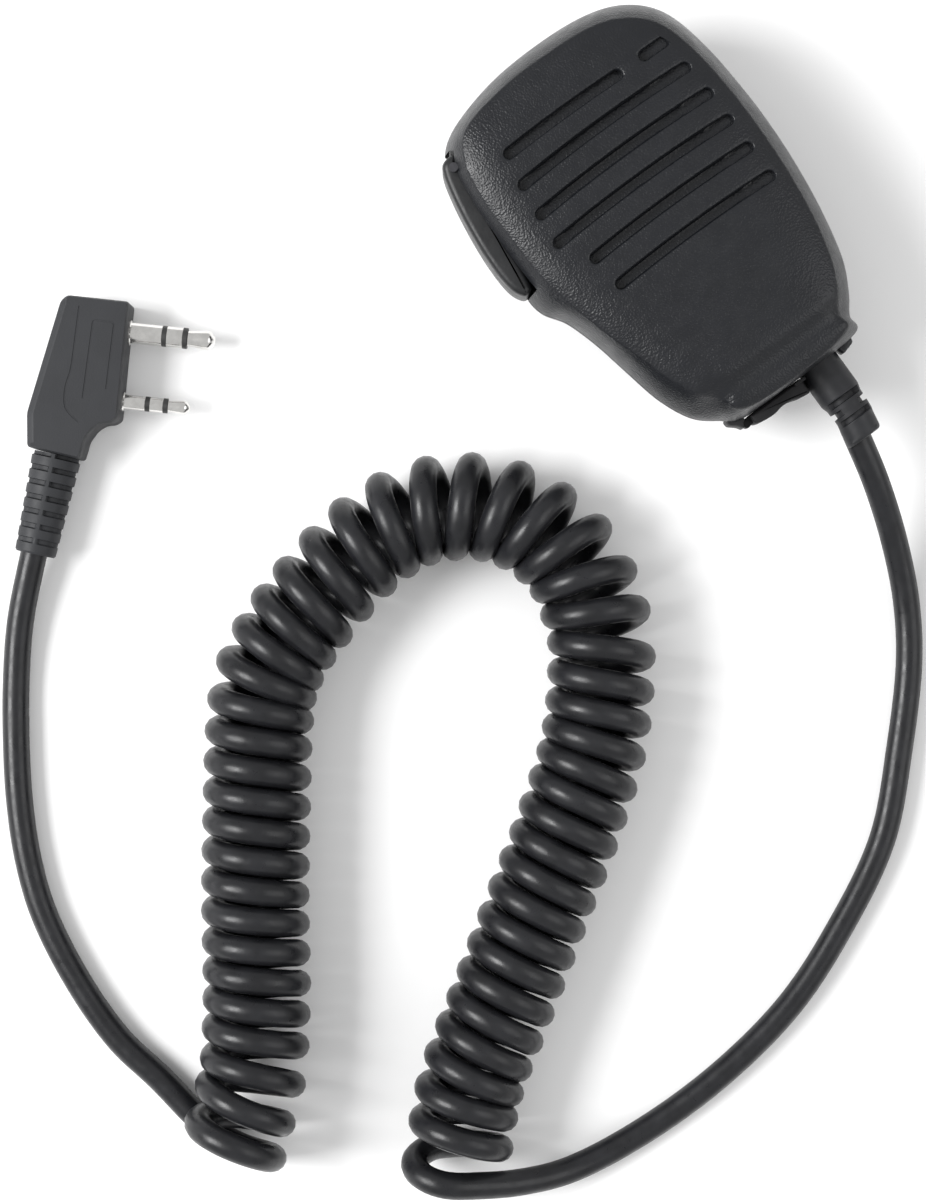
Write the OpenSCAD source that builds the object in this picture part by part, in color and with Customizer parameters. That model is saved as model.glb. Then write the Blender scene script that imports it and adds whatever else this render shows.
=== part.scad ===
// Hand microphone: a speaker microphone with a talk bar, a clothing clip,
// a curly cord and a two-pin plug. It lies on its clip, grille up.
// Origin: centre of the head's footprint, on the surface it lies on.
// +Z towards the grille's side, +Y to the head's top, away from the cord.

/* [Housing] */
// Height of the flat back of the rear shell
back_z = 8.2; // [8.1:0.1:8.5]
// Height of the parting line between the shells
part_z = 17; // [16.5:0.5:17.5]
// Height of the crown of the front face
crown_z = 28; // [27.5:0.5:28.5]
// Width of the sound slots
slot_w = 1.8; // [1.4:0.1:2.2]

/* [Loudspeaker] */
// Outer diameter of the loudspeaker's frame
speaker_d = 29; // [27:0.5:30]
// Diameter of the loudspeaker's magnet
magnet_d = 16; // [12:1:18]

/* [Microphone capsule] */
// Diameter of the capsule
capsule_d = 6; // [5:0.5:6.5]

/* [Talk bar] */
// Height of the talk bar
bar_h = 10.2; // [9:0.2:10.4]
// Diameter of the pin that the talk bar turns on
bar_pin_d = 1.5; // [1.2:0.1:1.6]

/* [Earphone socket] */
// Bore of the earphone socket
socket_d = 3.6; // [3.55:0.05:3.7]
// Width of the rubber cover over the socket
cover_w = 11.2; // [10.6:0.2:11.4]

/* [Cord] */
// Diameter of the cord
cord_d = 4.5; // [4.2:0.1:4.6]
// Outer diameter of the curly stretch
coil_d = 18; // [17:0.5:18]

/* [Plug] */
// Thickness of the plug's body
plug_t = 10; // [9:0.5:11]
// Diameter of the large pin
large_pin_d = 3.5; // [3.4:0.05:3.6]
// Diameter of the small pin
small_pin_d = 2.5; // [2.4:0.05:2.6]
// Distance between the two pins
pin_pitch = 11.5; // [11:0.25:12]

/* [Clip] */
// Width of the clip
clip_w = 14; // [12:0.5:15]
// Thickness of the clip's lever
lever_t = 1.8; // [1.4:0.1:1.8]

/* [Hidden] */
$fn = 48;

shell_black = [0.17, 0.175, 0.19];
rubber_black = [0.14, 0.14, 0.15];
plug_grey = [0.23, 0.23, 0.25];
nickel = [0.8, 0.8, 0.82];
steel = [0.6, 0.61, 0.63];
brass = [0.78, 0.63, 0.33];
board_green = [0.08, 0.32, 0.18];

// Slack between a screw or shaft and its hole
slack = 0.02;
// A length that makes a cut run past the face it starts from
past = 1;

// Corner points of the head where the shells part, clockwise from the top
rim = [
    [2, 35.9], [11, 35.2], [17.5, 32.8], [22, 28], [24.2, 20], [25.1, 10], [25.2, 2],
    [24.7, -6], [23.6, -14], [21.9, -21.5], [19.5, -26.5], [17.4, -29.6], [16.4, -32.4],
    [5, -32.9], [-6.5, -32.8], [-9.5, -31], [-13, -28], [-15.6, -22.5], [-17.2, -15.5],
    [-18.6, -9], [-20.4, -3.5], [-22.8, 0.4], [-23.3, 5], [-23.2, 14], [-22.9, 22],
    [-21.6, 28.2], [-17.5, 32.4], [-8, 35.2]
];
// The same points at the crease round the front face
brow = [
    [1.5, 32.6], [9.5, 32], [14.8, 30], [18.9, 26], [21, 19], [21.9, 10], [22, 2],
    [21.6, -6], [20.6, -14], [19, -20.5], [17, -25], [15.2, -28.2], [14.2, -31],
    [4.5, -31.4], [-5.6, -31], [-8, -28.5], [-10.6, -25.6], [-12.9, -21], [-14.8, -15.5],
    [-16.8, -9.5], [-18.2, -4.5], [-19.4, 0.5], [-20.1, 5], [-20.4, 13], [-20.2, 21],
    [-19, 26.6], [-15.6, 30.6], [-7, 32.4]
];
// The point that the outlines shrink towards
head_mid = [0.5, 1.5];
// Straight pieces between two corner points
outline_steps = 3;
rim_curve = closed_spline(rim, outline_steps);
brow_curve = closed_spline(brow, outline_steps);
shoulder_z = part_z + 6.5;
crease_z = crown_z - 1.8;
floor_z = back_z + 1.7;
roof_z = crown_z - 2.8;

// Rows of sound slots: left end, right end, height up the face
slots = [
    [-13.6, 9.3, 23.1], [12.9, 18.4, 22.9], [-14.7, 18.8, 18], [-15.2, 19.3, 12.6],
    [-15.6, 19.4, 7.3], [-12.3, 19.4, 1.8], [-11.4, 19.6, -3.9]
];
slot_floor_z = crown_z - 1.7;

speaker_at = [1, 9.1];
speaker_r = speaker_d / 2;
flange_z = roof_z - 1.3;
cup_z = flange_z - 4.9;
capsule_at = [15.6, 22.9];
capsule_r = capsule_d / 2;

// Pillars of the four screws that hold the shells together
pillars = [[-12, 28.6], [11.8, 30], [-11.3, -23], [17, -23.5]];
pillar_r = 2.6;
housing_screw_r = 1.1;
housing_screw_l = 12.4;
head_recess = 1.6;

board_z = floor_z + 0.7;
board_t = 1.2;
board_top = board_z + board_t;
board_outline = [
    [-16.6, 23.5], [17.4, 23.5], [17.4, -16], [13, -18.5], [3, -18.5], [3, -28.2], [-4.4, -28.2],
    [-4.4, -18.5], [-12, -18.5], [-13.2, -14], [-15.8, -5]
];
board_screw_at = [[-12, -12], [13, -12]];
board_screw_r = 0.9;

// The talk bar, seen from the front: its upper end turns on a pin
bar_outline = [
    [-19.4, 28.6], [-21.2, 28.9], [-22.6, 27.6], [-23.9, 22.6], [-24.9, 15.6], [-25.2, 10],
    [-24.9, 6], [-23.8, 3.8], [-22.6, 3.7], [-21.7, 5], [-20.7, 11], [-20.3, 20], [-19.5, 25]
];
bar_z = part_z - 4.4;
bar_pin_at = [-20.9, 27];
bar_pin_r = bar_pin_d / 2;
bar_gap = 0.35;
plunger_y = 15;
plunger_z = board_top + 2.7;
plunger_tip_x = -18.9;
plunger_r = 1.2;
switch_x = -16.4;

socket_x = -0.6;
socket_z = board_top + 2.5;
socket_r = socket_d / 2;
socket_depth = 9.5;
socket_face_y = -28.9;
nose_y = -32.4;
cover_z = 11;
cover_h = 7;
cover_t = 2.9;
cover_y = -33.1;
cover_hinge_x = socket_x - cover_w / 2;
cover_hinge_r = 0.7;

cord_r = cord_d / 2;
relief_x = 9;
relief_z = 14.3;
relief_y = -32.7;
relief_r = 3.6;
relief_bend = 9;
collar_r = 3.2;
clamp_y = -24.5;
clamp_screw_x = [relief_x - 4, relief_x + 4];
clamp_screw_r = 0.8;

clip_at = [0, 8];
clip_pin_y = 17.5;
clip_pin_z = 4;
clip_pin_r = 1;
clip_plate_z = 6.3;
clip_plate_t = 1.6;
clip_tip_y = -13;
clip_thumb_y = 25;
clip_screw_r = 1.5;
clip_ear_x = 5.2;
clip_ear_t = 1.4;

// Middle of the cord from the strain relief to the coil
mic_lead_route = [
    [7.6, -45.6, 13.4], [6, -54, 10.8], [3.3, -64, 6.2], [-0.6, -73.5, 3.2], [-6, -82, 2.3],
    [-16, -93, 2.3], [-27.3, -103.6, 2.3], [-42, -111.5, 2.3], [-56, -116.8, 2.3],
    [-72, -119.4, 2.3], [-88, -119.5, 2.3], [-101.5, -117.2, 3.4], [-109.5, -113.5, 5.8],
    [-116.3, -108.7, 8.5], [-115.5, -102.5, 9]
];
// Axis of the curly stretch, from its plug end to its head end
coil_route = [
    [-145, -81.5, 9.05], [-138.9, -76.5, 9.05], [-133.9, -72.2, 9.05], [-126, -62.3, 9.05],
    [-117.5, -50.2, 9.05], [-108.6, -38.3, 9.05], [-99.5, -26.6, 9.05], [-94.2, -21.3, 9.05],
    [-87.5, -17.8, 9.05], [-80.5, -15.6, 9.05], [-73.3, -13.9, 9.05], [-65.9, -13, 9.05], [-58.6, -13.8, 9.05],
    [-51.8, -17.1, 9.05], [-46.4, -22.1, 9.05], [-43, -28.8, 9.05], [-42, -36.2, 9.05],
    [-43.6, -43.4, 9.05], [-46.8, -50.1, 9.05], [-56.4, -61.3, 9.05], [-68.3, -70.3, 9.05],
    [-80.7, -78.4, 9.05], [-93.1, -86.6, 9.05], [-105.6, -94.7, 9.05], [-112.5, -101, 9.05],
    [-116, -104.8, 9.05]
];
// Middle of the cord from the plug's boot to the coil
plug_lead_route = [
    [-112.2, 19.6, 4.9], [-122.1, 10.8, 3.2], [-128.7, 3.2, 2.3], [-134.6, -4.9, 2.3],
    [-140.1, -13.4, 2.3], [-144.8, -22.4, 2.3], [-148, -31.4, 2.3], [-150, -44.2, 2.3],
    [-150.1, -55.7, 2.3], [-148.4, -64.8, 2.3], [-144.6, -75.5, 3.4]
];

// The plug lies flat: this is the foot of its large pin, and the pins' bearing
plug_at = [-79.2, 38.7, plug_t / 2];
plug_turn = -41.7;
// The plug's body, seen from above, from the foot of the large pin
plug_outline = [
    [0, 4.8], [-10.3, 4.9], [-11.3, 3.8], [-15, -15.1], [-14.4, -20.7], [-5.6, -21.9],
    [-5, -18.6], [-3.8, -16.6], [-2.4, -15.6], [-1, -15.4]
];
boot_start = [-9.9, -21.4];
boot_end = [-11.9, -38.2];
boot_r = 4.1;
boot_end_r = 3.4;
ribs = 7;
large_pin_l = 14.5;
small_pin_l = 11.4;
insulator_t = 0.75;

function spline_point(a, b, c, d, t) =
    0.5 * (2 * b + (c - a) * t + (2 * a - 5 * b + 4 * c - d) * t * t + (3 * b - a - 3 * c + d) * t * t * t);

function closed_spline(p, steps) = [
    for (i = [0 : len(p) - 1], j = [0 : steps - 1])
        let (n = len(p))
            spline_point(p[(i + n - 1) % n], p[i], p[(i + 1) % n], p[(i + 2) % n], j / steps)
];

function open_spline(p, steps) = concat([
    for (i = [0 : len(p) - 2], j = [0 : steps - 1])
        spline_point(p[max(i - 1, 0)], p[i], p[i + 1], p[min(i + 2, len(p) - 1)], j / steps)
], [p[len(p) - 1]]);

// One level of the head: mix 0 is the rim, 1 the brow; grow scales it about its middle
function level(z, mix, grow) = [
    for (i = [0 : len(rim_curve) - 1])
        let (p = rim_curve[i] * (1 - mix) + brow_curve[i] * mix, q = head_mid + (p - head_mid) * grow)
            [q.x, q.y, z]
];

// Solid skinned over levels that are given from the lowest to the highest
module skin(levels) {
    n = len(levels[0]);
    points = [for (l = levels) each l];
    sides = [
        for (j = [0 : len(levels) - 2], i = [0 : n - 1])
            let (a = j * n + i, b = j * n + (i + 1) % n)
                each [[a, b, b + n], [a, b + n, a + n]]
    ];
    bottom = [for (i = [n - 1 : -1 : 0]) i];
    top = [for (i = [0 : n - 1]) (len(levels) - 1) * n + i];
    polyhedron(points, concat([bottom, top], sides));
}

function way(p, i) =
    let (d = p[min(i + 1, len(p) - 1)] - p[max(i - 1, 0)]) d / norm(d);

// Round tube along a route of points
module tube(route, r, sides) {
    last = len(route) - 1;
    points = [
        for (i = [0 : last])
            let (t = way(route, i), s = [-t.y, t.x, 0] / norm([t.x, t.y]), u = cross(t, s))
                for (k = [0 : sides - 1])
                    route[i] + r * (cos(360 * k / sides) * s + sin(360 * k / sides) * u)
    ];
    walls = [
        for (i = [0 : last - 1], k = [0 : sides - 1])
            let (a = i * sides + k, b = i * sides + (k + 1) % sides)
                each [[a, b + sides, b], [a, a + sides, b + sides]]
    ];
    start = [for (k = [0 : sides - 1]) k];
    end = [for (k = [sides - 1 : -1 : 0]) last * sides + k];
    polyhedron(points, concat([start, end], walls));
}

module ring(outer, inner, h) {
    difference() {
        cylinder(r = outer, h = h);
        translate([0, 0, -past])
            cylinder(r = inner, h = h + 2 * past);
    }
}

module screw(r, l, head_r, head_h) {
    cylinder(r = r, h = l);
    translate([0, 0, -head_h])
        difference() {
            cylinder(r = head_r, h = head_h);
            translate([-head_r * 0.6, -0.25, -past])
                cube([head_r * 1.2, 0.5, past + head_h * 0.45]);
            translate([-0.25, -head_r * 0.6, -past])
                cube([0.5, head_r * 1.2, past + head_h * 0.45]);
        }
}

module front_form() {
    skin([
        level(part_z, 0, 1), level(part_z + 3.5, 0.2, 1), level(shoulder_z, 0.55, 1),
        level(shoulder_z + 1.8, 0.84, 1), level(crease_z, 1, 0.975), level(crown_z - 1, 1, 0.89),
        level(crown_z - 0.4, 1, 0.7), level(crown_z, 1, 0.35)
    ]);
}

module front_hollow() {
    skin([
        level(part_z - past, 0, 0.91), level(part_z + 3.5, 0.2, 0.905), level(shoulder_z - 0.6, 0.6, 0.9),
        level(roof_z - 0.7, 1, 0.87), level(roof_z, 1, 0.8)
    ]);
}

module rear_form() {
    skin([
        level(back_z, 0, 0.86), level(back_z + 0.8, 0, 0.93), level(back_z + 2.2, 0, 0.97),
        level(part_z - 3.5, 0, 0.992), level(part_z, 0, 1)
    ]);
}

module rear_hollow() {
    skin([
        level(floor_z, 0, 0.83), level(floor_z + 1, 0, 0.88), level(part_z - 3.5, 0, 0.905),
        level(part_z + past, 0, 0.91)
    ]);
}

module slot(row) {
    for (x = [row.x + slot_w / 2, row.y - slot_w / 2])
        translate([x, row.z, 0])
            cylinder(d = slot_w, h = crown_z, $fn = 16);
    translate([row.x + slot_w / 2, row.z - slot_w / 2, 0])
        cube([row.y - row.x - slot_w, slot_w, crown_z]);
}

// The sound slots: shallow grooves, cut through in front of the loudspeaker and the capsule
module slot_cuts() {
    translate([0, 0, slot_floor_z])
        for (row = slots) slot(row);
    intersection() {
        for (row = slots) slot(row);
        translate([0, 0, roof_z - past])
            union() {
                translate(speaker_at)
                    cylinder(r = speaker_r - 1.6, h = crown_z);
                translate(capsule_at)
                    cylinder(r = capsule_r, h = crown_z);
            }
    }
}

// Room for the talk bar, and the hole for the switch's plunger behind it
module bar_room() {
    translate([0, 0, bar_z - bar_gap])
        linear_extrude(bar_h + 2 * bar_gap)
            polygon([
                [-19.1, 29.3], [-28, 29.3], [-28, 3.3], [-20.2, 3.3], [-19.4, 11], [-19.1, 20]
            ]);
    translate([-21, plunger_y, plunger_z])
        rotate([0, 90, 0])
            cylinder(r = plunger_r + 0.6, h = 4.2);
}

module bar_wall(z, h) {
    translate([-20.4, 1.4, z])
        cube([2.6, 29, h]);
    translate([-24, 1.4, z])
        cube([5, 2, h]);
    translate([-24, 29.3, z])
        cube([6, 2, h]);
}

module socket_hole() {
    translate([socket_x, -28.6, socket_z])
        rotate([90, 0, 0])
            cylinder(r = 3.1, h = 8);
}

module relief_hole() {
    translate([relief_x, -30, relief_z])
        rotate([90, 0, 0])
            cylinder(r = relief_r + 0.05, h = 8);
    translate([relief_x, -27.5, relief_z])
        rotate([90, 0, 0])
            cylinder(r = 4.45, h = 2.6);
}

module anchor_room() {
    translate([cover_hinge_x - 2.65, -34, cover_z - 0.05])
        cube([2.7, 2.7, cover_h + 0.1]);
}

module front_housing() {
    color(shell_black)
        difference() {
            union() {
                difference() {
                    front_form();
                    front_hollow();
                }
                intersection() {
                    front_form();
                    union() {
                        for (p = pillars)
                            translate([p.x, p.y, part_z])
                                cylinder(r = pillar_r, h = crown_z - part_z);
                        translate([speaker_at.x, speaker_at.y, flange_z - 1])
                            ring(speaker_r + 1.4, speaker_r + 0.1, crown_z - flange_z);
                        translate([capsule_at.x, capsule_at.y, roof_z - 3])
                            ring(capsule_r + 2, capsule_r + 1.05, 4);
                        bar_wall(part_z, 7.8);
                    }
                }
            }
            for (p = pillars)
                translate([p.x, p.y, part_z - past])
                    cylinder(r = housing_screw_r + slack, h = 6.5);
            slot_cuts();
            translate([capsule_at.x, capsule_at.y, roof_z - 3.4])
                cylinder(r = capsule_r + 1 + slack, h = 3.4);
            bar_room();
            translate([bar_pin_at.x, bar_pin_at.y, bar_z])
                cylinder(r = bar_pin_r + slack, h = bar_h + 1.4);
            socket_hole();
            relief_hole();
            anchor_room();
            translate([relief_x - 5.7, -26.4, part_z - past])
                cube([11.4, 3.8, past + 0.7]);
        }
}

module rear_housing() {
    color(shell_black)
        difference() {
            union() {
                difference() {
                    rear_form();
                    rear_hollow();
                }
                intersection() {
                    rear_form();
                    union() {
                        for (p = pillars)
                            translate([p.x, p.y, back_z])
                                cylinder(r = pillar_r, h = part_z - back_z);
                        for (p = board_screw_at)
                            translate([p.x, p.y, back_z])
                                cylinder(r = 2.2, h = board_z - back_z);
                        for (x = clamp_screw_x)
                            translate([x, clamp_y, back_z])
                                cylinder(r = 1.5, h = relief_z - back_z);
                        translate([clip_at.x, clip_at.y, back_z])
                            cylinder(r = 3.6, h = 5.4);
                        bar_wall(back_z, part_z - back_z);
                    }
                }
            }
            for (p = pillars) {
                translate([p.x, p.y, back_z - past])
                    cylinder(r = housing_screw_r + slack, h = part_z);
                translate([p.x, p.y, back_z - past])
                    cylinder(r = 2.15, h = past + head_recess);
            }
            for (p = board_screw_at)
                translate([p.x, p.y, back_z + 0.6])
                    cylinder(r = board_screw_r + slack, h = part_z);
            for (x = clamp_screw_x)
                translate([x, clamp_y, back_z + 1.6])
                    cylinder(r = clamp_screw_r + slack, h = part_z);
            translate([clip_at.x, clip_at.y, back_z - past])
                cylinder(r = 2.3 + slack, h = past + 4.4);
            bar_room();
            translate([bar_pin_at.x, bar_pin_at.y, bar_z - 1.2])
                cylinder(r = bar_pin_r + slack, h = part_z);
            socket_hole();
            relief_hole();
            anchor_room();
            translate([relief_x, -28, relief_z])
                rotate([-90, 0, 0])
                    cylinder(r = cord_r + 0.05, h = 8);
        }
}

module housing_screws() {
    color(steel)
        for (p = pillars)
            translate([p.x, p.y, back_z + head_recess])
                screw(housing_screw_r, housing_screw_l, 2, 1.3);
}

module grille_cloth() {
    color([0.07, 0.07, 0.075])
        translate([speaker_at.x, speaker_at.y, roof_z - 0.25])
            cylinder(r = speaker_r - 0.1, h = 0.25);
}

module speaker_gasket() {
    color([0.12, 0.12, 0.12])
        translate([speaker_at.x, speaker_at.y, flange_z + 0.6])
            ring(speaker_r - 0.05, speaker_r - 1.8, roof_z - flange_z - 0.85);
}

module speaker_basket() {
    color(steel)
        translate([speaker_at.x, speaker_at.y, 0])
            rotate_extrude()
                polygon([
                    [magnet_d / 2 - 3, cup_z], [magnet_d / 2 + 0.6, cup_z],
                    [speaker_r - 1.4, flange_z - 0.8], [speaker_r, flange_z], [speaker_r, flange_z + 0.6],
                    [speaker_r - 2, flange_z + 0.6], [speaker_r - 2.4, flange_z],
                    [magnet_d / 2, cup_z + 0.6], [magnet_d / 2 - 3, cup_z + 0.6]
                ]);
}

module speaker_cone() {
    color([0.1, 0.1, 0.11])
        translate([speaker_at.x, speaker_at.y, flange_z])
            rotate_extrude()
                polygon([
                    [0, -1.2], [2.2, -1.8], [3.4, -2.9], [4.6, -2.7], [speaker_r - 5, -0.3],
                    [speaker_r - 4, 0.25], [speaker_r - 3, -0.1], [speaker_r - 3, 0.15],
                    [speaker_r - 4, 0.5], [speaker_r - 5.1, 0.05], [4.4, -2.3], [3.4, -2.4],
                    [2.2, -1.4], [0, -0.8]
                ]);
}

module speaker_magnet() {
    color(nickel)
        translate([speaker_at.x, speaker_at.y, cup_z - 3.2]) {
            cylinder(d = magnet_d, h = 3.2);
            cylinder(r = magnet_d / 2 - 3.1, h = 4);
        }
}

module mic_boot() {
    color(rubber_black)
        translate([capsule_at.x, capsule_at.y, roof_z - 3.2])
            difference() {
                cylinder(r = capsule_r + 1, h = 3.2);
                translate([0, 0, -past])
                    cylinder(r = capsule_r + slack, h = 3.2 + past - 0.3);
                cylinder(r = 1.4, h = 5);
            }
}

module mic_capsule() {
    color(nickel)
        translate([capsule_at.x, capsule_at.y, roof_z - 3])
            difference() {
                cylinder(r = capsule_r, h = 2.6);
                translate([0, 0, 2.1])
                    cylinder(r = 0.8, h = past);
            }
}

module circuit_board() {
    color(board_green)
        difference() {
            translate([0, 0, board_z])
                linear_extrude(board_t)
                    difference() {
                        polygon(board_outline);
                        translate(clip_at)
                            circle(r = 3.9);
                        translate(pillars[3])
                            circle(r = 3);
                    }
            for (p = board_screw_at)
                translate([p.x, p.y, 0])
                    cylinder(r = board_screw_r + slack, h = crown_z);
        }
}

module board_parts() {
    color([0.1, 0.1, 0.1])
        for (p = [[4, -10], [-4, -7], [8, 0], [-11, 0], [13, -5]])
            translate([p.x, p.y, board_top])
                cube([3, 2.4, 1]);
    color(nickel)
        for (p = [[-2, -14], [12, 4]])
            translate([p.x, p.y, board_top])
                cylinder(r = 1.6, h = 2.6);
}

module board_screws() {
    color(steel)
        for (p = board_screw_at)
            translate([p.x, p.y, board_top])
                mirror([0, 0, 1])
                    screw(board_screw_r, 2.6, 1.7, 0.9);
}

module ptt_button() {
    color(rubber_black)
        difference() {
            union() {
                translate([0, 0, bar_z])
                    linear_extrude(bar_h)
                        polygon(closed_spline(bar_outline, outline_steps));
                translate([plunger_tip_x - 2.6, plunger_y, plunger_z])
                    rotate([0, 90, 0])
                        cylinder(r = 1.3, h = 2.5);
            }
            translate([bar_pin_at.x, bar_pin_at.y, bar_z - past])
                cylinder(r = bar_pin_r + 0.05, h = bar_h + 2 * past);
        }
}

module ptt_pivot_pin() {
    color(steel)
        translate([bar_pin_at.x, bar_pin_at.y, bar_z - 1.1])
            cylinder(r = bar_pin_r, h = bar_h + 2.2);
}

module ptt_plunger() {
    color([0.85, 0.84, 0.8])
        translate([plunger_tip_x, plunger_y, plunger_z])
            rotate([0, 90, 0])
                cylinder(r = plunger_r, h = switch_x - plunger_tip_x + 1.4);
}

module ptt_switch() {
    color([0.2, 0.2, 0.22])
        difference() {
            translate([switch_x, plunger_y - 3, board_top])
                cube([4, 6, 5]);
            translate([switch_x - past, plunger_y, plunger_z])
                rotate([0, 90, 0])
                    cylinder(r = plunger_r + 0.08, h = past + 2.4);
        }
}

module ear_jack() {
    color([0.15, 0.15, 0.16])
        difference() {
            union() {
                translate([socket_x - 3.2, socket_face_y, board_top])
                    cube([6.4, 10.4, 5]);
                translate([socket_x, socket_face_y, socket_z])
                    rotate([90, 0, 0])
                        cylinder(r = 3, h = socket_face_y - nose_y);
            }
            translate([socket_x, nose_y - past, socket_z])
                rotate([-90, 0, 0])
                    cylinder(r = socket_r, h = past + socket_depth);
        }
}

module jack_cover() {
    color(rubber_black) {
        difference() {
            union() {
                translate([cover_hinge_x + 0.9, cover_y - cover_t, cover_z])
                    cube([cover_w - 0.9, cover_t, cover_h]);
                translate([cover_hinge_x + cover_w - 1.6, cover_y - 0.6, cover_z + cover_h])
                    cube([2.2, 0.6, 0.8]);
            }
            translate([cover_hinge_x + cover_w - 0.2, cover_y - cover_t, cover_z + 1])
                cube([1, 1.6, cover_h - 2]);
        }
        translate([cover_hinge_x, cover_y - cover_hinge_r - 0.1, cover_z + 2])
            cylinder(r = cover_hinge_r, h = cover_h - 4);
        translate([cover_hinge_x, cover_y - 1.3, cover_z + 2])
            cube([1, 1, cover_h - 4]);
    }
}

module jack_cover_anchor() {
    color(rubber_black)
        difference() {
            translate([cover_hinge_x - 2.6, cover_y - 1.3, cover_z])
                cube([2.6, 3, cover_h]);
            translate([cover_hinge_x, cover_y - cover_hinge_r - 0.1, cover_z - past])
                cylinder(r = cover_hinge_r + 0.1, h = cover_h + 2 * past);
        }
}

module cord_clamp() {
    color([0.75, 0.74, 0.7])
        difference() {
            translate([relief_x - 5.3, clamp_y - 1.6, relief_z + 0.02])
                cube([10.6, 3.2, 3.2]);
            translate([relief_x, clamp_y - 4, relief_z])
                rotate([-90, 0, 0])
                    cylinder(r = cord_r + slack, h = 8);
            for (x = clamp_screw_x)
                translate([x, clamp_y, 0])
                    cylinder(r = clamp_screw_r + slack, h = crown_z);
        }
}

module clamp_screws() {
    color(steel)
        for (x = clamp_screw_x)
            translate([x, clamp_y, relief_z + 3.22])
                mirror([0, 0, 1])
                    screw(clamp_screw_r, 6.5, 1.4, 0.9);
}

// The end of the cord's jacket, inside the housing
module cord_tail() {
    color(rubber_black)
        translate([relief_x, -27.4, relief_z])
            rotate([-90, 0, 0])
                cylinder(r = cord_r, h = 6.4);
}

// The cord's cores, fanned out to the board
module cord_cores() {
    tints = ["firebrick", "gold", "white", "royalblue"];
    for (i = [0 : 3]) {
        y = -20.9;
        x = relief_x - 1.5 + i;
        color(tints[i])
            tube([
                [x, y, relief_z], [x - 0.5, y + 3, relief_z + 0.4],
                [x - 3.4 + 0.8 * i, y + 6, relief_z - 0.6], [x - 6 + 1.6 * i, y + 8, board_top + 0.46]
            ], 0.45, 8);
    }
}

module speaker_wires() {
    tints = ["firebrick", "dimgray"];
    for (i = [0 : 1])
        color(tints[i])
            tube([
                [-4 + 3 * i, -3.4, cup_z - 1], [-4.4 + 3 * i, -5.6, cup_z - 2.2],
                [-5 + 3 * i, -7.4, board_top + 2], [-6 + 4 * i, -9.8, board_top + 0.45]
            ], 0.4, 8);
}

module clip_base() {
    color(shell_black)
        difference() {
            union() {
                hull()
                    for (x = [-1, 1], y = [clip_tip_y + 3, 21])
                        translate([x * (clip_w / 2 - 3), y, clip_plate_z])
                            cylinder(r = 3, h = clip_plate_t, $fn = 32);
                for (x = [-clip_ear_x - clip_ear_t, clip_ear_x])
                    translate([x, clip_pin_y, 0])
                        rotate([90, 0, 90])
                            linear_extrude(clip_ear_t)
                                union() {
                                    translate([0, clip_pin_z])
                                        circle(r = 2);
                                    translate([-2, clip_pin_z])
                                        square([4, clip_plate_z - clip_pin_z + 0.5]);
                                }
            }
            translate([clip_at.x, clip_at.y, 0])
                cylinder(r = clip_screw_r + 0.05, h = back_z);
            translate([-clip_w, clip_pin_y, clip_pin_z])
                rotate([0, 90, 0])
                    cylinder(r = clip_pin_r + slack, h = 2 * clip_w);
        }
}

module clip_washer() {
    color(steel)
        translate([clip_at.x, clip_at.y, clip_plate_z + clip_plate_t])
            ring(5, clip_screw_r + 0.1, back_z - clip_plate_z - clip_plate_t);
}

module clip_insert() {
    color(brass)
        translate([clip_at.x, clip_at.y, back_z])
            ring(2.3, clip_screw_r + slack, 4.2);
}

module clip_screw() {
    color(steel)
        translate([clip_at.x, clip_at.y, clip_plate_z])
            screw(clip_screw_r, 5.8, 2.8, 1.6);
}

module clip_jaw() {
    color(shell_black)
        difference() {
            union() {
                hull()
                    for (x = [-1, 1], y = [clip_tip_y + 1, clip_thumb_y - 3])
                        translate([x * (clip_w / 2 - 3), y, 0])
                            cylinder(r = y > 0 ? 3 : 1, h = lever_t, $fn = 32);
                translate([2 - clip_w / 2, clip_tip_y, 0])
                    cube([clip_w - 4, 1.6, clip_plate_z - 0.1]);
                for (x = [-clip_ear_x + 0.1, clip_ear_x - 0.1 - clip_ear_t])
                    translate([x, clip_pin_y, 0])
                        rotate([90, 0, 90])
                            linear_extrude(clip_ear_t)
                                union() {
                                    translate([0, clip_pin_z])
                                        circle(r = 1.9);
                                    translate([-1.9, lever_t / 2])
                                        square([3.8, clip_pin_z - lever_t / 2]);
                                }
                for (y = [22.2, 23.6])
                    translate([-3.5, y, lever_t])
                        cube([7, 0.6, 0.3]);
            }
            translate([-clip_w, clip_pin_y, clip_pin_z])
                rotate([0, 90, 0])
                    cylinder(r = clip_pin_r + 0.04, h = 2 * clip_w);
        }
}

module clip_pin() {
    color(nickel)
        translate([-clip_ear_x - clip_ear_t, clip_pin_y, clip_pin_z])
            rotate([0, 90, 0])
                cylinder(r = clip_pin_r, h = 2 * (clip_ear_x + clip_ear_t));
}

module clip_spring() {
    color(nickel) {
        for (i = [0 : 4])
            translate([1.36 * i - 3.1, clip_pin_y, clip_pin_z])
                rotate([0, 90, 0])
                    ring(1.75, 1.08, i < 4 ? 1.3 : 0.7);
        translate([-3.1, clip_pin_y - 0.35, clip_pin_z + 1.08])
            cube([6.14, 0.7, 0.6]);
        translate([-3, clip_pin_y, clip_plate_z - 0.65])
            cube([0.6, 4.6, 0.6]);
        translate([2.5, clip_pin_y, lever_t + 0.05])
            cube([0.6, 4.6, 0.6]);
    }
}

module relief_frame() {
    translate([relief_x, relief_y, relief_z])
        rotate([90, 0, 0])
            children();
}

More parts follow.
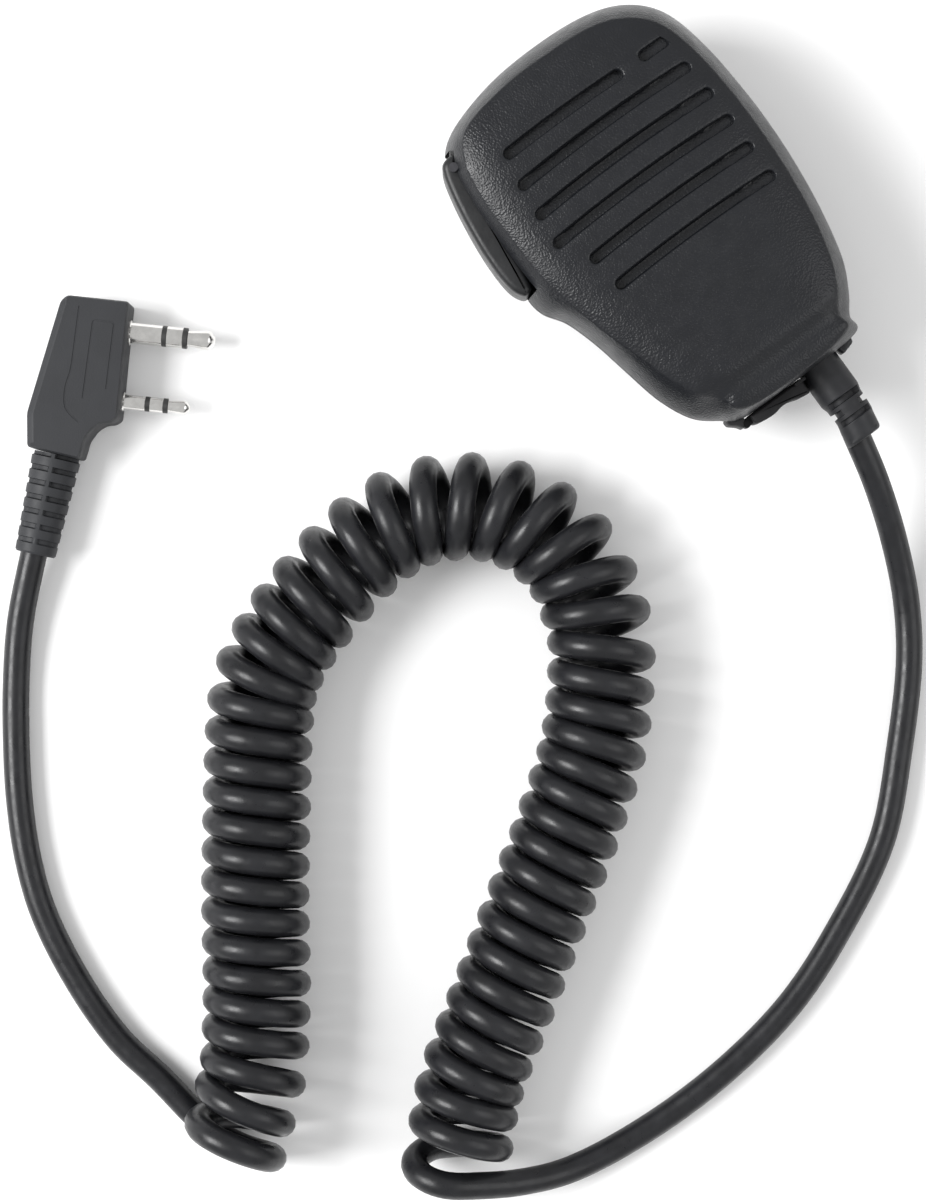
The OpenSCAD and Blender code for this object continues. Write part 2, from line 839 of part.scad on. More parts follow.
// Rubber boot of the cord: a flange inside, a plain stretch, two open slots and a collar
module strain_relief() {
    color(rubber_black)
        union() {
            relief_frame() {
                translate([0, 0, -5.1])
                    cylinder(r = 4.35, h = 2.4);
                translate([0, 0, -3])
                    cylinder(r = relief_r, h = 9.6);
                cylinder(r = cord_r + 0.5, h = 10.6);
                for (i = [0, 1])
                    translate([0, 0, 7.5 + 1.7 * i])
                        cylinder(r = collar_r - 0.1 * i, h = 0.9);
            }
            relief_frame()
                translate([0, 0, 10.4])
                    rotate([5, -relief_bend, 0])
                        cylinder(r = collar_r, h = 4);
        }
}

module cord_mic_lead() {
    color(rubber_black)
        tube(open_spline(mic_lead_route, 2), cord_r, 8);
}

module cord_coil() {
    color(rubber_black)
        tube(coil_route, coil_d / 2, 12);
}

module cord_plug_lead() {
    color(rubber_black)
        tube(open_spline(plug_lead_route, 2), cord_r, 8);
}

module on_plug() {
    translate(plug_at)
        rotate([0, 0, plug_turn])
            children();
}

// A pin's own frame: its foot on the plug's face, +Z towards its tip
module on_pin(y) {
    on_plug()
        translate([0, y, 0])
            rotate([0, 90, 0])
                children();
}

module plug_body() {
    color(plug_grey)
        on_plug() {
            translate([0, 0, 0.8 - plug_t / 2])
                linear_extrude(plug_t - 1.6)
                    polygon(plug_outline);
            translate([0, 0, -plug_t / 2])
                linear_extrude(plug_t)
                    offset(r = -0.8, $fn = 16)
                        polygon(plug_outline);
        }
}

module plug_boot() {
    way = boot_end - boot_start;
    rib_pitch = norm(way) / ribs;
    color(plug_grey)
        on_plug()
            translate([boot_start.x, boot_start.y, 0])
                rotate([0, 90, atan2(way.y, way.x)]) {
                    cylinder(r = 3, h = norm(way));
                    for (i = [0 : ribs - 1]) {
                        rib_r = boot_r - (boot_r - boot_end_r) * i / (ribs - 1);
                        translate([0, 0, i * rib_pitch + 0.5])
                            cylinder(r = rib_r, h = rib_pitch - 0.7);
                    }
                }
}

module pin_sleeve(r, end) {
    color(nickel) {
        translate([0, 0, -2])
            cylinder(r = r + 0.35, h = 2.4);
        cylinder(r = r, h = end);
    }
}

module pin_tip(r, start, l) {
    color(nickel)
        translate([0, 0, start])
            rotate_extrude()
                polygon([
                    [0, 0], [0.74 * r, 0], [0.74 * r, 0.3], [0.92 * r, 0.62 * l], [0.9 * r, 0.7 * l],
                    [0.4 * r, 0.96 * l], [0.25 * r, l], [0, l]
                ]);
}

module pin_insulators(r, places) {
    color([0.05, 0.05, 0.05])
        for (z = places)
            translate([0, 0, z])
                cylinder(r = r, h = insulator_t);
}

large_bands = [5.6, 9.05];
small_bands = [3.9, 6.9];

module large_pin_sleeve() {
    on_pin(0)
        pin_sleeve(large_pin_d / 2, large_bands[0]);
}

module large_pin_ring() {
    color(nickel)
        on_pin(0)
            translate([0, 0, large_bands[0] + insulator_t])
                cylinder(d = large_pin_d, h = large_bands[1] - large_bands[0] - insulator_t);
}

module large_pin_tip() {
    start = large_bands[1] + insulator_t;
    on_pin(0)
        pin_tip(large_pin_d / 2, start, large_pin_l - start);
}

module large_pin_insulators() {
    on_pin(0)
        pin_insulators(large_pin_d / 2, large_bands);
}

module small_pin_sleeve() {
    on_pin(-pin_pitch)
        pin_sleeve(small_pin_d / 2, small_bands[0]);
}

module small_pin_ring() {
    color(nickel)
        on_pin(-pin_pitch)
            translate([0, 0, small_bands[0] + insulator_t])
                cylinder(d = small_pin_d, h = small_bands[1] - small_bands[0] - insulator_t);
}

module small_pin_tip() {
    start = small_bands[1] + insulator_t;
    on_pin(-pin_pitch)
        pin_tip(small_pin_d / 2, start, small_pin_l - start);
}

module small_pin_insulators() {
    on_pin(-pin_pitch)
        pin_insulators(small_pin_d / 2, small_bands);
}

front_housing();
rear_housing();
housing_screws();
grille_cloth();
speaker_gasket();
speaker_basket();
speaker_cone();
speaker_magnet();
mic_boot();
mic_capsule();
circuit_board();
board_parts();
board_screws();
ptt_button();
ptt_pivot_pin();
ptt_plunger();
ptt_switch();
ear_jack();
jack_cover();
jack_cover_anchor();
cord_clamp();
clamp_screws();
cord_tail();
cord_cores();
speaker_wires();
clip_base();
clip_washer();
clip_screw();
clip_insert();
clip_jaw();
clip_pin();
clip_spring();
strain_relief();
cord_mic_lead();
cord_coil();
cord_plug_lead();
plug_boot();
plug_body();
large_pin_sleeve();
large_pin_ring();
large_pin_tip();
large_pin_insulators();
small_pin_sleeve();
small_pin_ring();
small_pin_tip();
small_pin_insulators();
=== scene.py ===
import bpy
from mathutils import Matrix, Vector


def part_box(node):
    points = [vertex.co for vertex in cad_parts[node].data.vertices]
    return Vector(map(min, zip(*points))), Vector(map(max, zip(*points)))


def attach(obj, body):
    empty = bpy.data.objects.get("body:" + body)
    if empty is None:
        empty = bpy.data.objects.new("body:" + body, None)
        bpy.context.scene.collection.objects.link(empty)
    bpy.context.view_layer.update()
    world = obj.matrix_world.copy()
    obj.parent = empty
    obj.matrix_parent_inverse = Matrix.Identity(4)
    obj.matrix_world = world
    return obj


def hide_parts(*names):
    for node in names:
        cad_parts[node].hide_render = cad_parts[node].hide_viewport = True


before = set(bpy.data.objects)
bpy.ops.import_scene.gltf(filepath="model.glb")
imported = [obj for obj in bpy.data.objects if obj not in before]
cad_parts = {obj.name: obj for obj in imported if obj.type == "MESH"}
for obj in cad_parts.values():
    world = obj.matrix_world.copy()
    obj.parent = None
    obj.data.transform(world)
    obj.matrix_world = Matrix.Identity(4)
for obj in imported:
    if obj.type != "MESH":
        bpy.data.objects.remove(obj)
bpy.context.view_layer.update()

# Looks of the hand microphone. The camera, the lights and the floor are placed in metres.
# All shapes are worked out in millimetres, and scaled to metres as their meshes are made.
import math
from contextlib import contextmanager

import bmesh
import bpy
import numpy as np
from mathutils import Vector
from mathutils.geometry import delaunay_2d_cdt

MM = 0.001


def box_mm(node):
    """Lowest and highest corner of a CAD node."""
    low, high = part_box(node)
    return np.array(low) / MM, np.array(high) / MM


def new_object(name, data):
    """An object with this data, in the scene."""
    made = bpy.data.objects.new(name, data)
    bpy.context.scene.collection.objects.link(made)
    return made


# -------------------- camera and light

VIEW_CENTRE = Vector((-0.0606, -0.0302, 0))
CAMERA_HEIGHT = 0.5
# Length on the floor that fills the picture from top to bottom
FRAME_TALL = 0.20235
UP_IN_VIEW = Vector((0.588, 0.809, 0))
SENSOR = 36
KEY_LIGHT_AT = Vector((-0.592, 0.43, 0.682)) * 1.1
SIDE_LIGHT_AT = Vector((0.7, -0.6, 0.9))
WORLD_STRENGTH = 0.66
FLOOR_HALF = 1.5
FLOOR_GREY = 0.93


def add_camera():
    """Straight above the object, turned as the photo is."""
    data = bpy.data.cameras.new("camera")
    data.sensor_width = SENSOR
    data.lens = SENSOR * CAMERA_HEIGHT / FRAME_TALL
    camera = new_object("camera", data)
    camera.location = VIEW_CENTRE + Vector((0, 0, CAMERA_HEIGHT))
    camera.rotation_euler = (0, 0, math.atan2(UP_IN_VIEW.y, UP_IN_VIEW.x) - math.pi / 2)
    bpy.context.scene.camera = camera


def add_area_light(name, offset, size, watts):
    """A soft square light at an offset from the view's centre, and aimed at it."""
    data = bpy.data.lights.new(name, "AREA")
    data.shape = "SQUARE"
    data.size = size
    data.energy = watts
    lamp = new_object(name, data)
    lamp.location = VIEW_CENTRE + offset
    lamp.rotation_euler = (-offset).to_track_quat("-Z", "Y").to_euler()


def add_lights():
    add_area_light("key", KEY_LIGHT_AT, size=0.55, watts=15)
    add_area_light("side", SIDE_LIGHT_AT, size=0.9, watts=4)
    world = bpy.data.worlds.new("studio")
    world.use_nodes = True
    background = world.node_tree.nodes["Background"]
    background.inputs["Color"].default_value = (1, 1, 1, 1)
    background.inputs["Strength"].default_value = WORLD_STRENGTH
    bpy.context.scene.world = world
    bpy.context.scene.view_settings.view_transform = "Standard"


def add_floor():
    mesh = bpy.data.meshes.new("floor")
    ways = ((-1, -1), (1, -1), (1, 1), (-1, 1))
    corners = [(x * FLOOR_HALF, y * FLOOR_HALF, 0) for x, y in ways]
    mesh.from_pydata(corners, [], [(0, 1, 2, 3)])
    floor = new_object("floor", mesh)
    material = bpy.data.materials.new("floor_white")
    material.use_nodes = True
    shader = material.node_tree.nodes["Principled BSDF"]
    shader.inputs["Base Color"].default_value = (FLOOR_GREY, FLOOR_GREY, FLOOR_GREY, 1)
    shader.inputs["Roughness"].default_value = 0.9
    mesh.materials.append(material)


add_camera()
add_lights()
add_floor()

# -------------------- materials

# Most of a noise's values lie between these two
NOISE_LOW = 0.3
NOISE_HIGH = 0.7
WEAVE_SCALE = 400
# Each material by the name of its slot
MATERIALS = {}


class Shader:
    """A Principled material with helpers for the noises that give it its detail."""

    def __init__(self, name, colour, roughness, metallic=0):
        material = bpy.data.materials.new(name)
        material.use_nodes = True
        MATERIALS[name] = material
        self.tree = material.node_tree
        self.shader = self.tree.nodes["Principled BSDF"]
        self.shader.inputs["Base Color"].default_value = (*colour, 1)
        self.shader.inputs["Roughness"].default_value = roughness
        self.shader.inputs["Metallic"].default_value = metallic
        self.place = self.tree.nodes.new("ShaderNodeTexCoord").outputs["Object"]
        self.normal = None

    def node(self, kind, **sockets):
        """A new node with its named input sockets set."""
        made = self.tree.nodes.new(kind)
        for socket, value in sockets.items():
            made.inputs[socket.replace("_", " ")].default_value = value
        return made

    def link(self, source, target):
        self.tree.links.new(source, target)

    def noise(self, size_mm, detail):
        texture = self.node("ShaderNodeTexNoise", Scale=1 / (size_mm * MM), Detail=detail)
        self.link(self.place, texture.inputs["Vector"])
        return texture.outputs["Fac"]

    def cells(self, size_mm):
        texture = self.node("ShaderNodeTexVoronoi", Scale=1 / (size_mm * MM))
        texture.feature = "SMOOTH_F1"
        self.link(self.place, texture.inputs["Vector"])
        return texture.outputs["Distance"]

    def tint(self, value, dark, light):
        """The base colour goes from dark to light with a value."""
        ramp = self.tree.nodes.new("ShaderNodeValToRGB")
        ramp.color_ramp.elements[0].position = 0.35
        ramp.color_ramp.elements[1].position = 0.65
        ramp.color_ramp.elements[0].color = (*dark, 1)
        ramp.color_ramp.elements[1].color = (*light, 1)
        self.link(value, ramp.inputs["Fac"])
        self.link(ramp.outputs["Color"], self.shader.inputs["Base Color"])

    def rough(self, value, low, high):
        """The roughness goes from low to high with a noise's value."""
        ramp = self.node("ShaderNodeMapRange", From_Min=NOISE_LOW, From_Max=NOISE_HIGH,
                         To_Min=low, To_Max=high)
        self.link(value, ramp.inputs["Value"])
        self.link(ramp.outputs["Result"], self.shader.inputs["Roughness"])

    def bump(self, value, depth_mm):
        """Adds a relief on top of the ones made before it."""
        bump = self.node("ShaderNodeBump", Strength=1, Distance=depth_mm * MM)
        self.link(value, bump.inputs["Height"])
        if self.normal is not None:
            self.link(self.normal, bump.inputs["Normal"])
        self.normal = bump.outputs["Normal"]
        self.link(self.normal, self.shader.inputs["Normal"])


def mixed(colour, share):
    """A darker or lighter colour."""
    return tuple(min(1, c * share) for c in colour)


def grained_plastic(name, colour, roughness, grain_mm, depth_mm, specular):
    """Moulded plastic with a leather grain, and faint handling marks in its gloss."""
    made = Shader(name, colour, roughness)
    made.shader.inputs["Specular IOR Level"].default_value = specular
    made.tint(made.noise(6, 4), mixed(colour, 0.94), mixed(colour, 1.08))
    made.rough(made.noise(2.5, 5), roughness - 0.06, roughness + 0.07)
    made.bump(made.noise(grain_mm * 1.6, 2), depth_mm * 0.5)
    made.bump(made.cells(grain_mm), depth_mm)


def smooth_rubber(name, colour, roughness, specular):
    """Moulded rubber or soft vinyl: a fine skin, slow changes in gloss and dust-like specks."""
    made = Shader(name, colour, roughness)
    made.shader.inputs["Specular IOR Level"].default_value = specular
    made.tint(made.noise(4, 5), mixed(colour, 0.8), mixed(colour, 1.25))
    made.rough(made.noise(1.6, 6), roughness - 0.08, roughness + 0.1)
    made.bump(made.noise(1.4, 3), 0.02)
    made.bump(made.noise(0.25, 4), 0.01)


def plated_metal(name, colour, roughness, turned_mm=0.12):
    """Plated or turned metal: fine tool marks and uneven polish."""
    made = Shader(name, colour, roughness, metallic=1)
    made.tint(made.noise(1.5, 4), mixed(colour, 0.92), mixed(colour, 1.04))
    made.rough(made.noise(0.5, 5), roughness - 0.03, roughness + 0.06)
    made.bump(made.noise(turned_mm, 4), 0.0008)


def woven_cloth(name, colour):
    """Acoustic cloth: a fine over-and-under weave."""
    made = Shader(name, colour, 0.9)
    made.shader.inputs["Sheen Weight"].default_value = 0.25
    weave = made.node("ShaderNodeMath")
    weave.operation = "MULTIPLY"
    for socket, direction in enumerate("XY"):
        threads = made.node("ShaderNodeTexWave", Scale=WEAVE_SCALE)
        threads.bands_direction = direction
        made.link(made.place, threads.inputs["Vector"])
        made.link(threads.outputs["Fac"], weave.inputs[socket])
    made.tint(weave.outputs["Value"], mixed(colour, 0.4), mixed(colour, 1.6))
    made.bump(weave.outputs["Value"], 0.08)


def laminate(name, colour):
    """Circuit board laminate: glossy solder resist over a faint glass weave."""
    made = Shader(name, colour, 0.3)
    made.shader.inputs["Coat Weight"].default_value = 0.4
    made.tint(made.cells(0.8), mixed(colour, 0.7), mixed(colour, 1.3))
    made.bump(made.noise(0.5, 2), 0.02)


def mottled(name, colour, roughness):
    """Small hidden parts: uneven colour, moulding texture and gloss."""
    made = Shader(name, colour, roughness)
    made.tint(made.noise(1.8, 4), mixed(colour, 0.75), mixed(colour, 1.2))
    made.rough(made.noise(0.9, 4), roughness - 0.1, roughness + 0.1)
    made.bump(made.noise(0.3, 3), 0.015)


grained_plastic("shell_plastic", (0.0085, 0.0093, 0.0115), roughness=0.34, grain_mm=0.3,
                depth_mm=0.075, specular=0.34)
grained_plastic("button_rubber", (0.011, 0.0115, 0.0125), roughness=0.4, grain_mm=0.5,
                depth_mm=0.015, specular=0.34)
grained_plastic("plug_plastic", (0.023, 0.024, 0.0268), roughness=0.55, grain_mm=0.22,
                depth_mm=0.012, specular=0.3)
smooth_rubber("cover_rubber", (0.01, 0.01, 0.011), roughness=0.6, specular=0.3)
smooth_rubber("cord_jacket", (0.0105, 0.0108, 0.0125), roughness=0.33, specular=0.34)
smooth_rubber("relief_rubber", (0.0125, 0.013, 0.015), roughness=0.48, specular=0.35)
plated_metal("plated", (0.74, 0.73, 0.71), roughness=0.14)
plated_metal("steel", (0.52, 0.52, 0.54), roughness=0.34, turned_mm=0.2)
plated_metal("brass", (0.72, 0.53, 0.24), roughness=0.3)
mottled("insulator", (0.02, 0.02, 0.02), roughness=0.5)
mottled("dark_parts", (0.03, 0.03, 0.035), roughness=0.45)
mottled("pale_plastic", (0.62, 0.6, 0.54), roughness=0.45)
mottled("wire", (0.45, 0.04, 0.04), roughness=0.4)
laminate("board", (0.02, 0.11, 0.05))
woven_cloth("cloth", (0.02, 0.02, 0.022))

# -------------------- mesh helpers


def catmull(points, steps, closed=False):
    """Points on the smooth curve through the given points, `steps` to each stretch."""
    p = np.asarray(points, float)
    n = len(p)
    rows = []
    for i in range(n if closed else n - 1):
        if closed:
            a, b, c, d = (p[(i + k) % n] for k in (-1, 0, 1, 2))
        else:
            a, b, c, d = p[max(i - 1, 0)], p[i], p[i + 1], p[min(i + 2, n - 1)]
        for j in range(steps):
            t = j / steps
            rows.append(0.5 * (2 * b + (c - a) * t + (2 * a - 5 * b + 4 * c - d) * t * t
                               + (3 * b - a - 3 * c + d) * t ** 3))
    if not closed:
        rows.append(p[-1])
    return np.array(rows)


@contextmanager
def editing(mesh):
    """The mesh as a bmesh, written back when the block ends."""
    edited = bmesh.new()
    edited.from_mesh(mesh)
    yield edited
    edited.to_mesh(mesh)
    edited.free()


def mesh_object(name, points_mm, faces):
    """A mesh object made from points in millimetres, with its faces turned outwards."""
    mesh = bpy.data.meshes.new(name)
    mesh.from_pydata([tuple(p * MM) for p in np.asarray(points_mm, float)], [], faces)
    mesh.validate()
    with editing(mesh) as edited:
        bmesh.ops.recalc_face_normals(edited, faces=edited.faces)
    return new_object(name, mesh)


def add_piece(name, points_mm, faces, slot, body):
    """A smooth piece made from points in millimetres, with its material, slot and body."""
    piece = mesh_object(name, points_mm, faces)
    piece.data.polygons.foreach_set("use_smooth", [True] * len(piece.data.polygons))
    piece.data.materials.append(MATERIALS[slot])
    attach(piece, body)
    return piece


def raised(flat, z):
    """Flat points at one height."""
    return np.column_stack([flat, np.full(len(flat), z)])


def ring_faces(rings, count):
    """Quads between rings of `count` points that follow each other."""
    faces = []
    for a in range(0, (rings - 1) * count, count):
        b = a + count
        faces += [(a + i, a + (i + 1) % count, b + (i + 1) % count, b + i) for i in range(count)]
    return faces


def loft(rings):
    """Points and faces of a closed solid skinned over rings, with flat ends."""
    count = len(rings[0])
    faces = ring_faces(len(rings), count)
    last = (len(rings) - 1) * count
    faces += [tuple(reversed(range(count))), tuple(last + i for i in range(count))]
    return np.vstack(rings), faces


def apply_modifiers(piece):
    """The piece's mesh with its modifiers applied."""
    bpy.context.view_layer.update()
    graph = bpy.context.evaluated_depsgraph_get()
    mesh = bpy.data.meshes.new_from_object(piece.evaluated_get(graph))
    piece.modifiers.clear()
    piece.data = mesh


def sharpen_over(piece, degrees):
    """Hard edges where the faces meet at more than this angle."""
    piece.data.set_sharp_from_angle(angle=math.radians(degrees))


def cut_away(piece, cutter_points, cutter_faces):
    """Cuts the solid given by points in millimetres and faces from the piece."""
    cutter = mesh_object("cutter", cutter_points, cutter_faces)
    cut = piece.modifiers.new("cut", "BOOLEAN")
    cut.operation = "DIFFERENCE"
    cut.solver = "EXACT"
    cut.object = cutter
    apply_modifiers(piece)
    bpy.data.objects.remove(cutter)


# -------------------- the cord

CORD_R = 2.25
# From the coil's axis to the cord's middle, and the axis's height
COIL_R = 6.75
COIL_Z = 9.05
# The lead from the strain relief to the coil
MIC_LEAD = [
    (7.6, -45.6, 13.4), (6, -54, 10.8), (3.3, -64, 6.2), (-0.6, -73.5, 3.2), (-6, -82, 2.3),
    (-16, -93, 2.3), (-27.3, -103.6, 2.3), (-42, -111.5, 2.3), (-56, -116.8, 2.3),
    (-72, -119.4, 2.3), (-88, -119.5, 2.3), (-101.6, -117.3, 3.9), (-109.3, -113.5, 7.6),
    (-115.9, -108.6, 11.4),
]
# The last bend of the lead, where it comes over the end of the coil
MIC_BEND = [
    (-119.6, -105.5, 13), (-121.8, -102.8, 12), (-122.3, -101, 9.2), (-121.4, -100.1, 6.3),
]
# From the plug's end of the coil to the microphone's
COIL_AXIS = [
    (-145, -81.5), (-138.9, -76.5), (-133.9, -72.2), (-126, -62.3), (-117.5, -50.2),
    (-108.6, -38.3), (-99.5, -26.6), (-94.2, -21.3), (-87.5, -17.8), (-80.5, -15.6),
    (-73.3, -13.9), (-65.9, -13), (-58.6, -13.8), (-51.8, -17.1), (-46.4, -22.1), (-43, -28.8),
    (-42, -36.2), (-43.6, -43.4), (-46.8, -50.1), (-56.4, -61.3), (-68.3, -70.3),
    (-80.7, -78.4), (-93.1, -86.6), (-105.6, -94.7), (-112.5, -101), (-116, -104.8),
]
# The lead from the plug's boot to the coil
PLUG_LEAD = [
    (-112.2, 19.6, 4.9), (-122.1, 10.8, 3.2), (-128.7, 3.2, 2.3), (-134.6, -4.9, 2.3),
    (-140.1, -13.4, 2.3), (-144.8, -22.4, 2.3), (-148, -31.4, 2.3), (-150, -44.2, 2.3),
    (-150.1, -55.7, 2.3), (-148.4, -64.8, 2.3),
]
# The lead's last bend, under the first turn of the coil
PLUG_BEND = [(-147, -74.5, 2.3), (-145.2, -80.8, 2.4)]
# From turn to turn: where the coil is straight, round its bend and at its two ends
TURN_PITCH = 4.88
LOOSE_PITCH = 6.1
END_PITCH = 5.9
# Where the bend is along the axis. The pitch changes over the blend each way
LOOSE_FROM = 92
LOOSE_TO = 164
PITCH_BLEND = 8
# Where the cord is round the coil as the coil's axis starts: 0 is its left side, seen
# along the axis, and 90 its top
FIRST_ANGLE = 260.4
# The turns used, from the axis's start: the rest are the leads' own bends
FIRST_TURN = 0.09
LAST_TURN = 47.1
STEPS_PER_TURN = 20
AXIS_STEP = 0.05
# The first turns ride up on the lead that passes under them
FIRST_TURNS_LIFT = 1.9
CORD_STEP = 1.1
# A bend is drawn out over about this distance each way
EASE_REACH = 6
EASE_PASSES = 15


def smoothstep(x, start, end):
    """0 up to the start, 1 from the end on, and smooth between them."""
    t = np.clip((x - start) / (end - start), 0, 1)
    return t * t * (3 - 2 * t)


def unit(rows):
    """Each row as a vector of length 1."""
    return rows / np.linalg.norm(rows, axis=1)[:, None]


def along(points):
    """Distance along a line of points, at each of them."""
    steps = np.linalg.norm(np.diff(points, axis=0), axis=1)
    return np.concatenate([[0], np.cumsum(steps)])


def pitch_along(run, total):
    """Distance from turn to turn at each distance along the coil's axis."""
    loose = smoothstep(run, LOOSE_FROM - PITCH_BLEND, LOOSE_FROM + PITCH_BLEND)
    loose *= 1 - smoothstep(run, LOOSE_TO - PITCH_BLEND, LOOSE_TO + PITCH_BLEND)
    pitch = TURN_PITCH + (LOOSE_PITCH - TURN_PITCH) * loose
    pitch += (END_PITCH - TURN_PITCH) * (1 - smoothstep(run, 12, 24))
    pitch += (END_PITCH - TURN_PITCH) * smoothstep(run, total - 12, total)
    return pitch


def coil_points():
    """The cord's middle along the curly stretch: a left-handed helix about its curved axis."""
    axis = catmull(COIL_AXIS, 12)
    run = along(axis)
    fine = np.arange(0, run[-1], AXIS_STEP)
    pitch = pitch_along(fine, run[-1])
    turns = np.concatenate([[0], np.cumsum(AXIS_STEP / pitch)])[: len(fine)]
    used = np.arange(FIRST_TURN, LAST_TURN, 1 / STEPS_PER_TURN)
    where = np.interp(used, turns, fine)
    angle = math.radians(FIRST_ANGLE) - 2 * math.pi * used
    x = np.interp(where, run, axis[:, 0])
    y = np.interp(where, run, axis[:, 1])
    ahead = unit(np.gradient(np.column_stack([x, y]), axis=0))
    left = np.column_stack([-ahead[:, 1], ahead[:, 0]])
    lift = FIRST_TURNS_LIFT * (1 - smoothstep(where, 3, 15)) * smoothstep(where, 0, 2.5)
    out = COIL_R * np.cos(angle)
    return np.column_stack([
        x + out * left[:, 0], y + out * left[:, 1], COIL_Z + COIL_R * np.sin(angle) + lift
    ])


def eased(line, place):
    """The line with its bend near a place drawn out."""
    run = along(line)
    at = run[np.argmin(np.linalg.norm(line - np.array(place), axis=1))]
    share = 0.5 * np.exp(-(((run - at) / EASE_REACH) ** 2))[1:-1, None]
    for _ in range(EASE_PASSES):
        line[1:-1] += share * ((line[:-2] + line[2:]) / 2 - line[1:-1])
    return line


def centripetal(points, gap):
    """A smooth curve through unevenly spaced points, with about `gap` between its own."""
    p = np.asarray(points, float)
    p = np.vstack([2 * p[0] - p[1], p, 2 * p[-1] - p[-2]])
    rows = []
    for i in range(1, len(p) - 2):
        a, b, c, d = p[i - 1: i + 3]
        t0 = 0
        t1 = t0 + math.sqrt(np.linalg.norm(b - a))
        t2 = t1 + math.sqrt(np.linalg.norm(c - b))
        t3 = t2 + math.sqrt(np.linalg.norm(d - c))
        for t in np.linspace(t1, t2, max(1, round(np.linalg.norm(c - b) / gap)), endpoint=False):
            ab = ((t1 - t) * a + (t - t0) * b) / (t1 - t0)
            bc = ((t2 - t) * b + (t - t1) * c) / (t2 - t1)
            cd = ((t3 - t) * c + (t - t2) * d) / (t3 - t2)
            abc = ((t2 - t) * ab + (t - t0) * bc) / (t2 - t0)
            bcd = ((t3 - t) * bc + (t - t1) * cd) / (t3 - t1)
            rows.append(((t2 - t) * abc + (t - t1) * bcd) / (t2 - t1))
    rows.append(p[-2])
    return np.array(rows)


def cord_line():
    """The cord's whole middle line, from the strain relief to the plug's boot."""
    coil = coil_points()
    knots = np.vstack([MIC_LEAD, MIC_BEND, coil[::-1], PLUG_BEND[::-1], PLUG_LEAD[::-1]])
    return eased(eased(centripetal(knots, CORD_STEP), MIC_BEND[1]), PLUG_BEND[-1])


def make_cord():
    """The cord as one round-bevelled curve, and its length in metres."""
    line = cord_line()
    data = bpy.data.curves.new("cord", "CURVE")
    data.dimensions = "3D"
    data.bevel_depth = CORD_R * MM
    data.bevel_resolution = 5
    data.use_fill_caps = True
    data.twist_mode = "MINIMUM"
    spline = data.splines.new("POLY")
    spline.points.add(len(line) - 1)
    for point, place in zip(spline.points, line):
        point.co = (*(place * MM), 1)
    spline.use_smooth = True
    data.materials.append(MATERIALS["cord_jacket"])
    cord = new_object("cord", data)
    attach(cord, "head")
    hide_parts("cord_mic_lead", "cord_coil", "cord_plug_lead")
    return cord, along(line)[-1] * MM


cord, cord_length = make_cord()

# -------------------- the head's outlines

# Corner points of the head where the shells part, clockwise from the top
RIM = [
    (2, 35.9), (11, 35.2), (17.5, 32.8), (22, 28), (24.2, 20), (25.1, 10), (25.2, 2),
    (24.7, -6), (23.6, -14), (21.9, -21.5), (19.5, -26.5), (17.4, -29.6), (16.4, -32.4),
    (5, -32.9), (-6.5, -32.8), (-9.5, -31), (-13, -28), (-15.6, -22.5), (-17.2, -15.5),
    (-18.6, -9), (-20.4, -3.5), (-22.8, 0.4), (-23.3, 5), (-23.2, 14), (-22.9, 22),
    (-21.6, 28.2), (-17.5, 32.4), (-8, 35.2),
]
# The same points at the crease round the front face
BROW = [
    (1.5, 32.6), (9.5, 32), (14.8, 30), (18.9, 26), (21, 19), (21.9, 10), (22, 2),
    (21.6, -6), (20.6, -14), (19, -20.5), (17, -25), (15.2, -28.2), (14.4, -31.3),
    (4.5, -32.4), (-5.8, -31.8), (-8, -28.5), (-10.6, -25.6), (-12.9, -21), (-14.8, -15.5),
    (-16.8, -9.5), (-18.2, -4.5), (-19.4, 0.5), (-20.1, 5), (-20.4, 13), (-20.2, 21),
    (-19, 26.6), (-15.6, 30.6), (-7, 32.4),
]
HEAD_MID = np.array([0.5, 1.5])
OUTLINE_STEPS = 8
# How far the face falls off: slowly to its crease, and steeply near it
DOME_DROP = 0.5
EDGE_DROP = 1.5
# The step across the face's lower end, and the raised lip below it
CHIN_STEP = 1.3
CHIN_LOW_Y = -28
CHIN_HIGH_Y = -25.2
LIP_RISE = 0.55
LIP_Y = -30.3
LIP_WIDTH = 0.8
rim = catmull(RIM, OUTLINE_STEPS, closed=True)
brow = catmull(BROW, OUTLINE_STEPS, closed=True)

PART_Z = box_mm("front_housing")[0][2]
CROWN_Z = box_mm("front_housing")[1][2]
BACK_Z = box_mm("rear_housing")[0][2]
# Heights of the rear shell's floor and of the front shell's roof, seen from inside
INNER_FLOOR_Z = BACK_Z + 1.7
ROOF_Z = CROWN_Z - 2.8
# The face's triangles end at this share of the crease's outline
FACE_SHARE = 0.93


def face_share(x, y):
    """How far a point is from the face's middle: 0 there, and 1 at the crease."""
    from_mid = brow - HEAD_MID
    angles = np.arctan2(from_mid[:, 1], from_mid[:, 0])
    reach = np.interp(np.arctan2(y - HEAD_MID[1], x - HEAD_MID[0]), angles,
                      np.hypot(from_mid[:, 0], from_mid[:, 1]), period=2 * math.pi)
    return np.hypot(x - HEAD_MID[0], y - HEAD_MID[1]) / reach


def chin(y):
    """How far the face's lower end lies under the rest: a soft step, then a lip."""
    step = CHIN_STEP * (1 - smoothstep(y, CHIN_LOW_Y, CHIN_HIGH_Y))
    lip = LIP_RISE * np.exp(-((y - LIP_Y) / LIP_WIDTH) ** 2)
    return step - lip


def face_z(x, y):
    """The face's height: a crown that falls off to its crease."""
    share = face_share(x, y)
    return CROWN_Z - DOME_DROP * share ** 2 - EDGE_DROP * share ** 8 - chin(y)


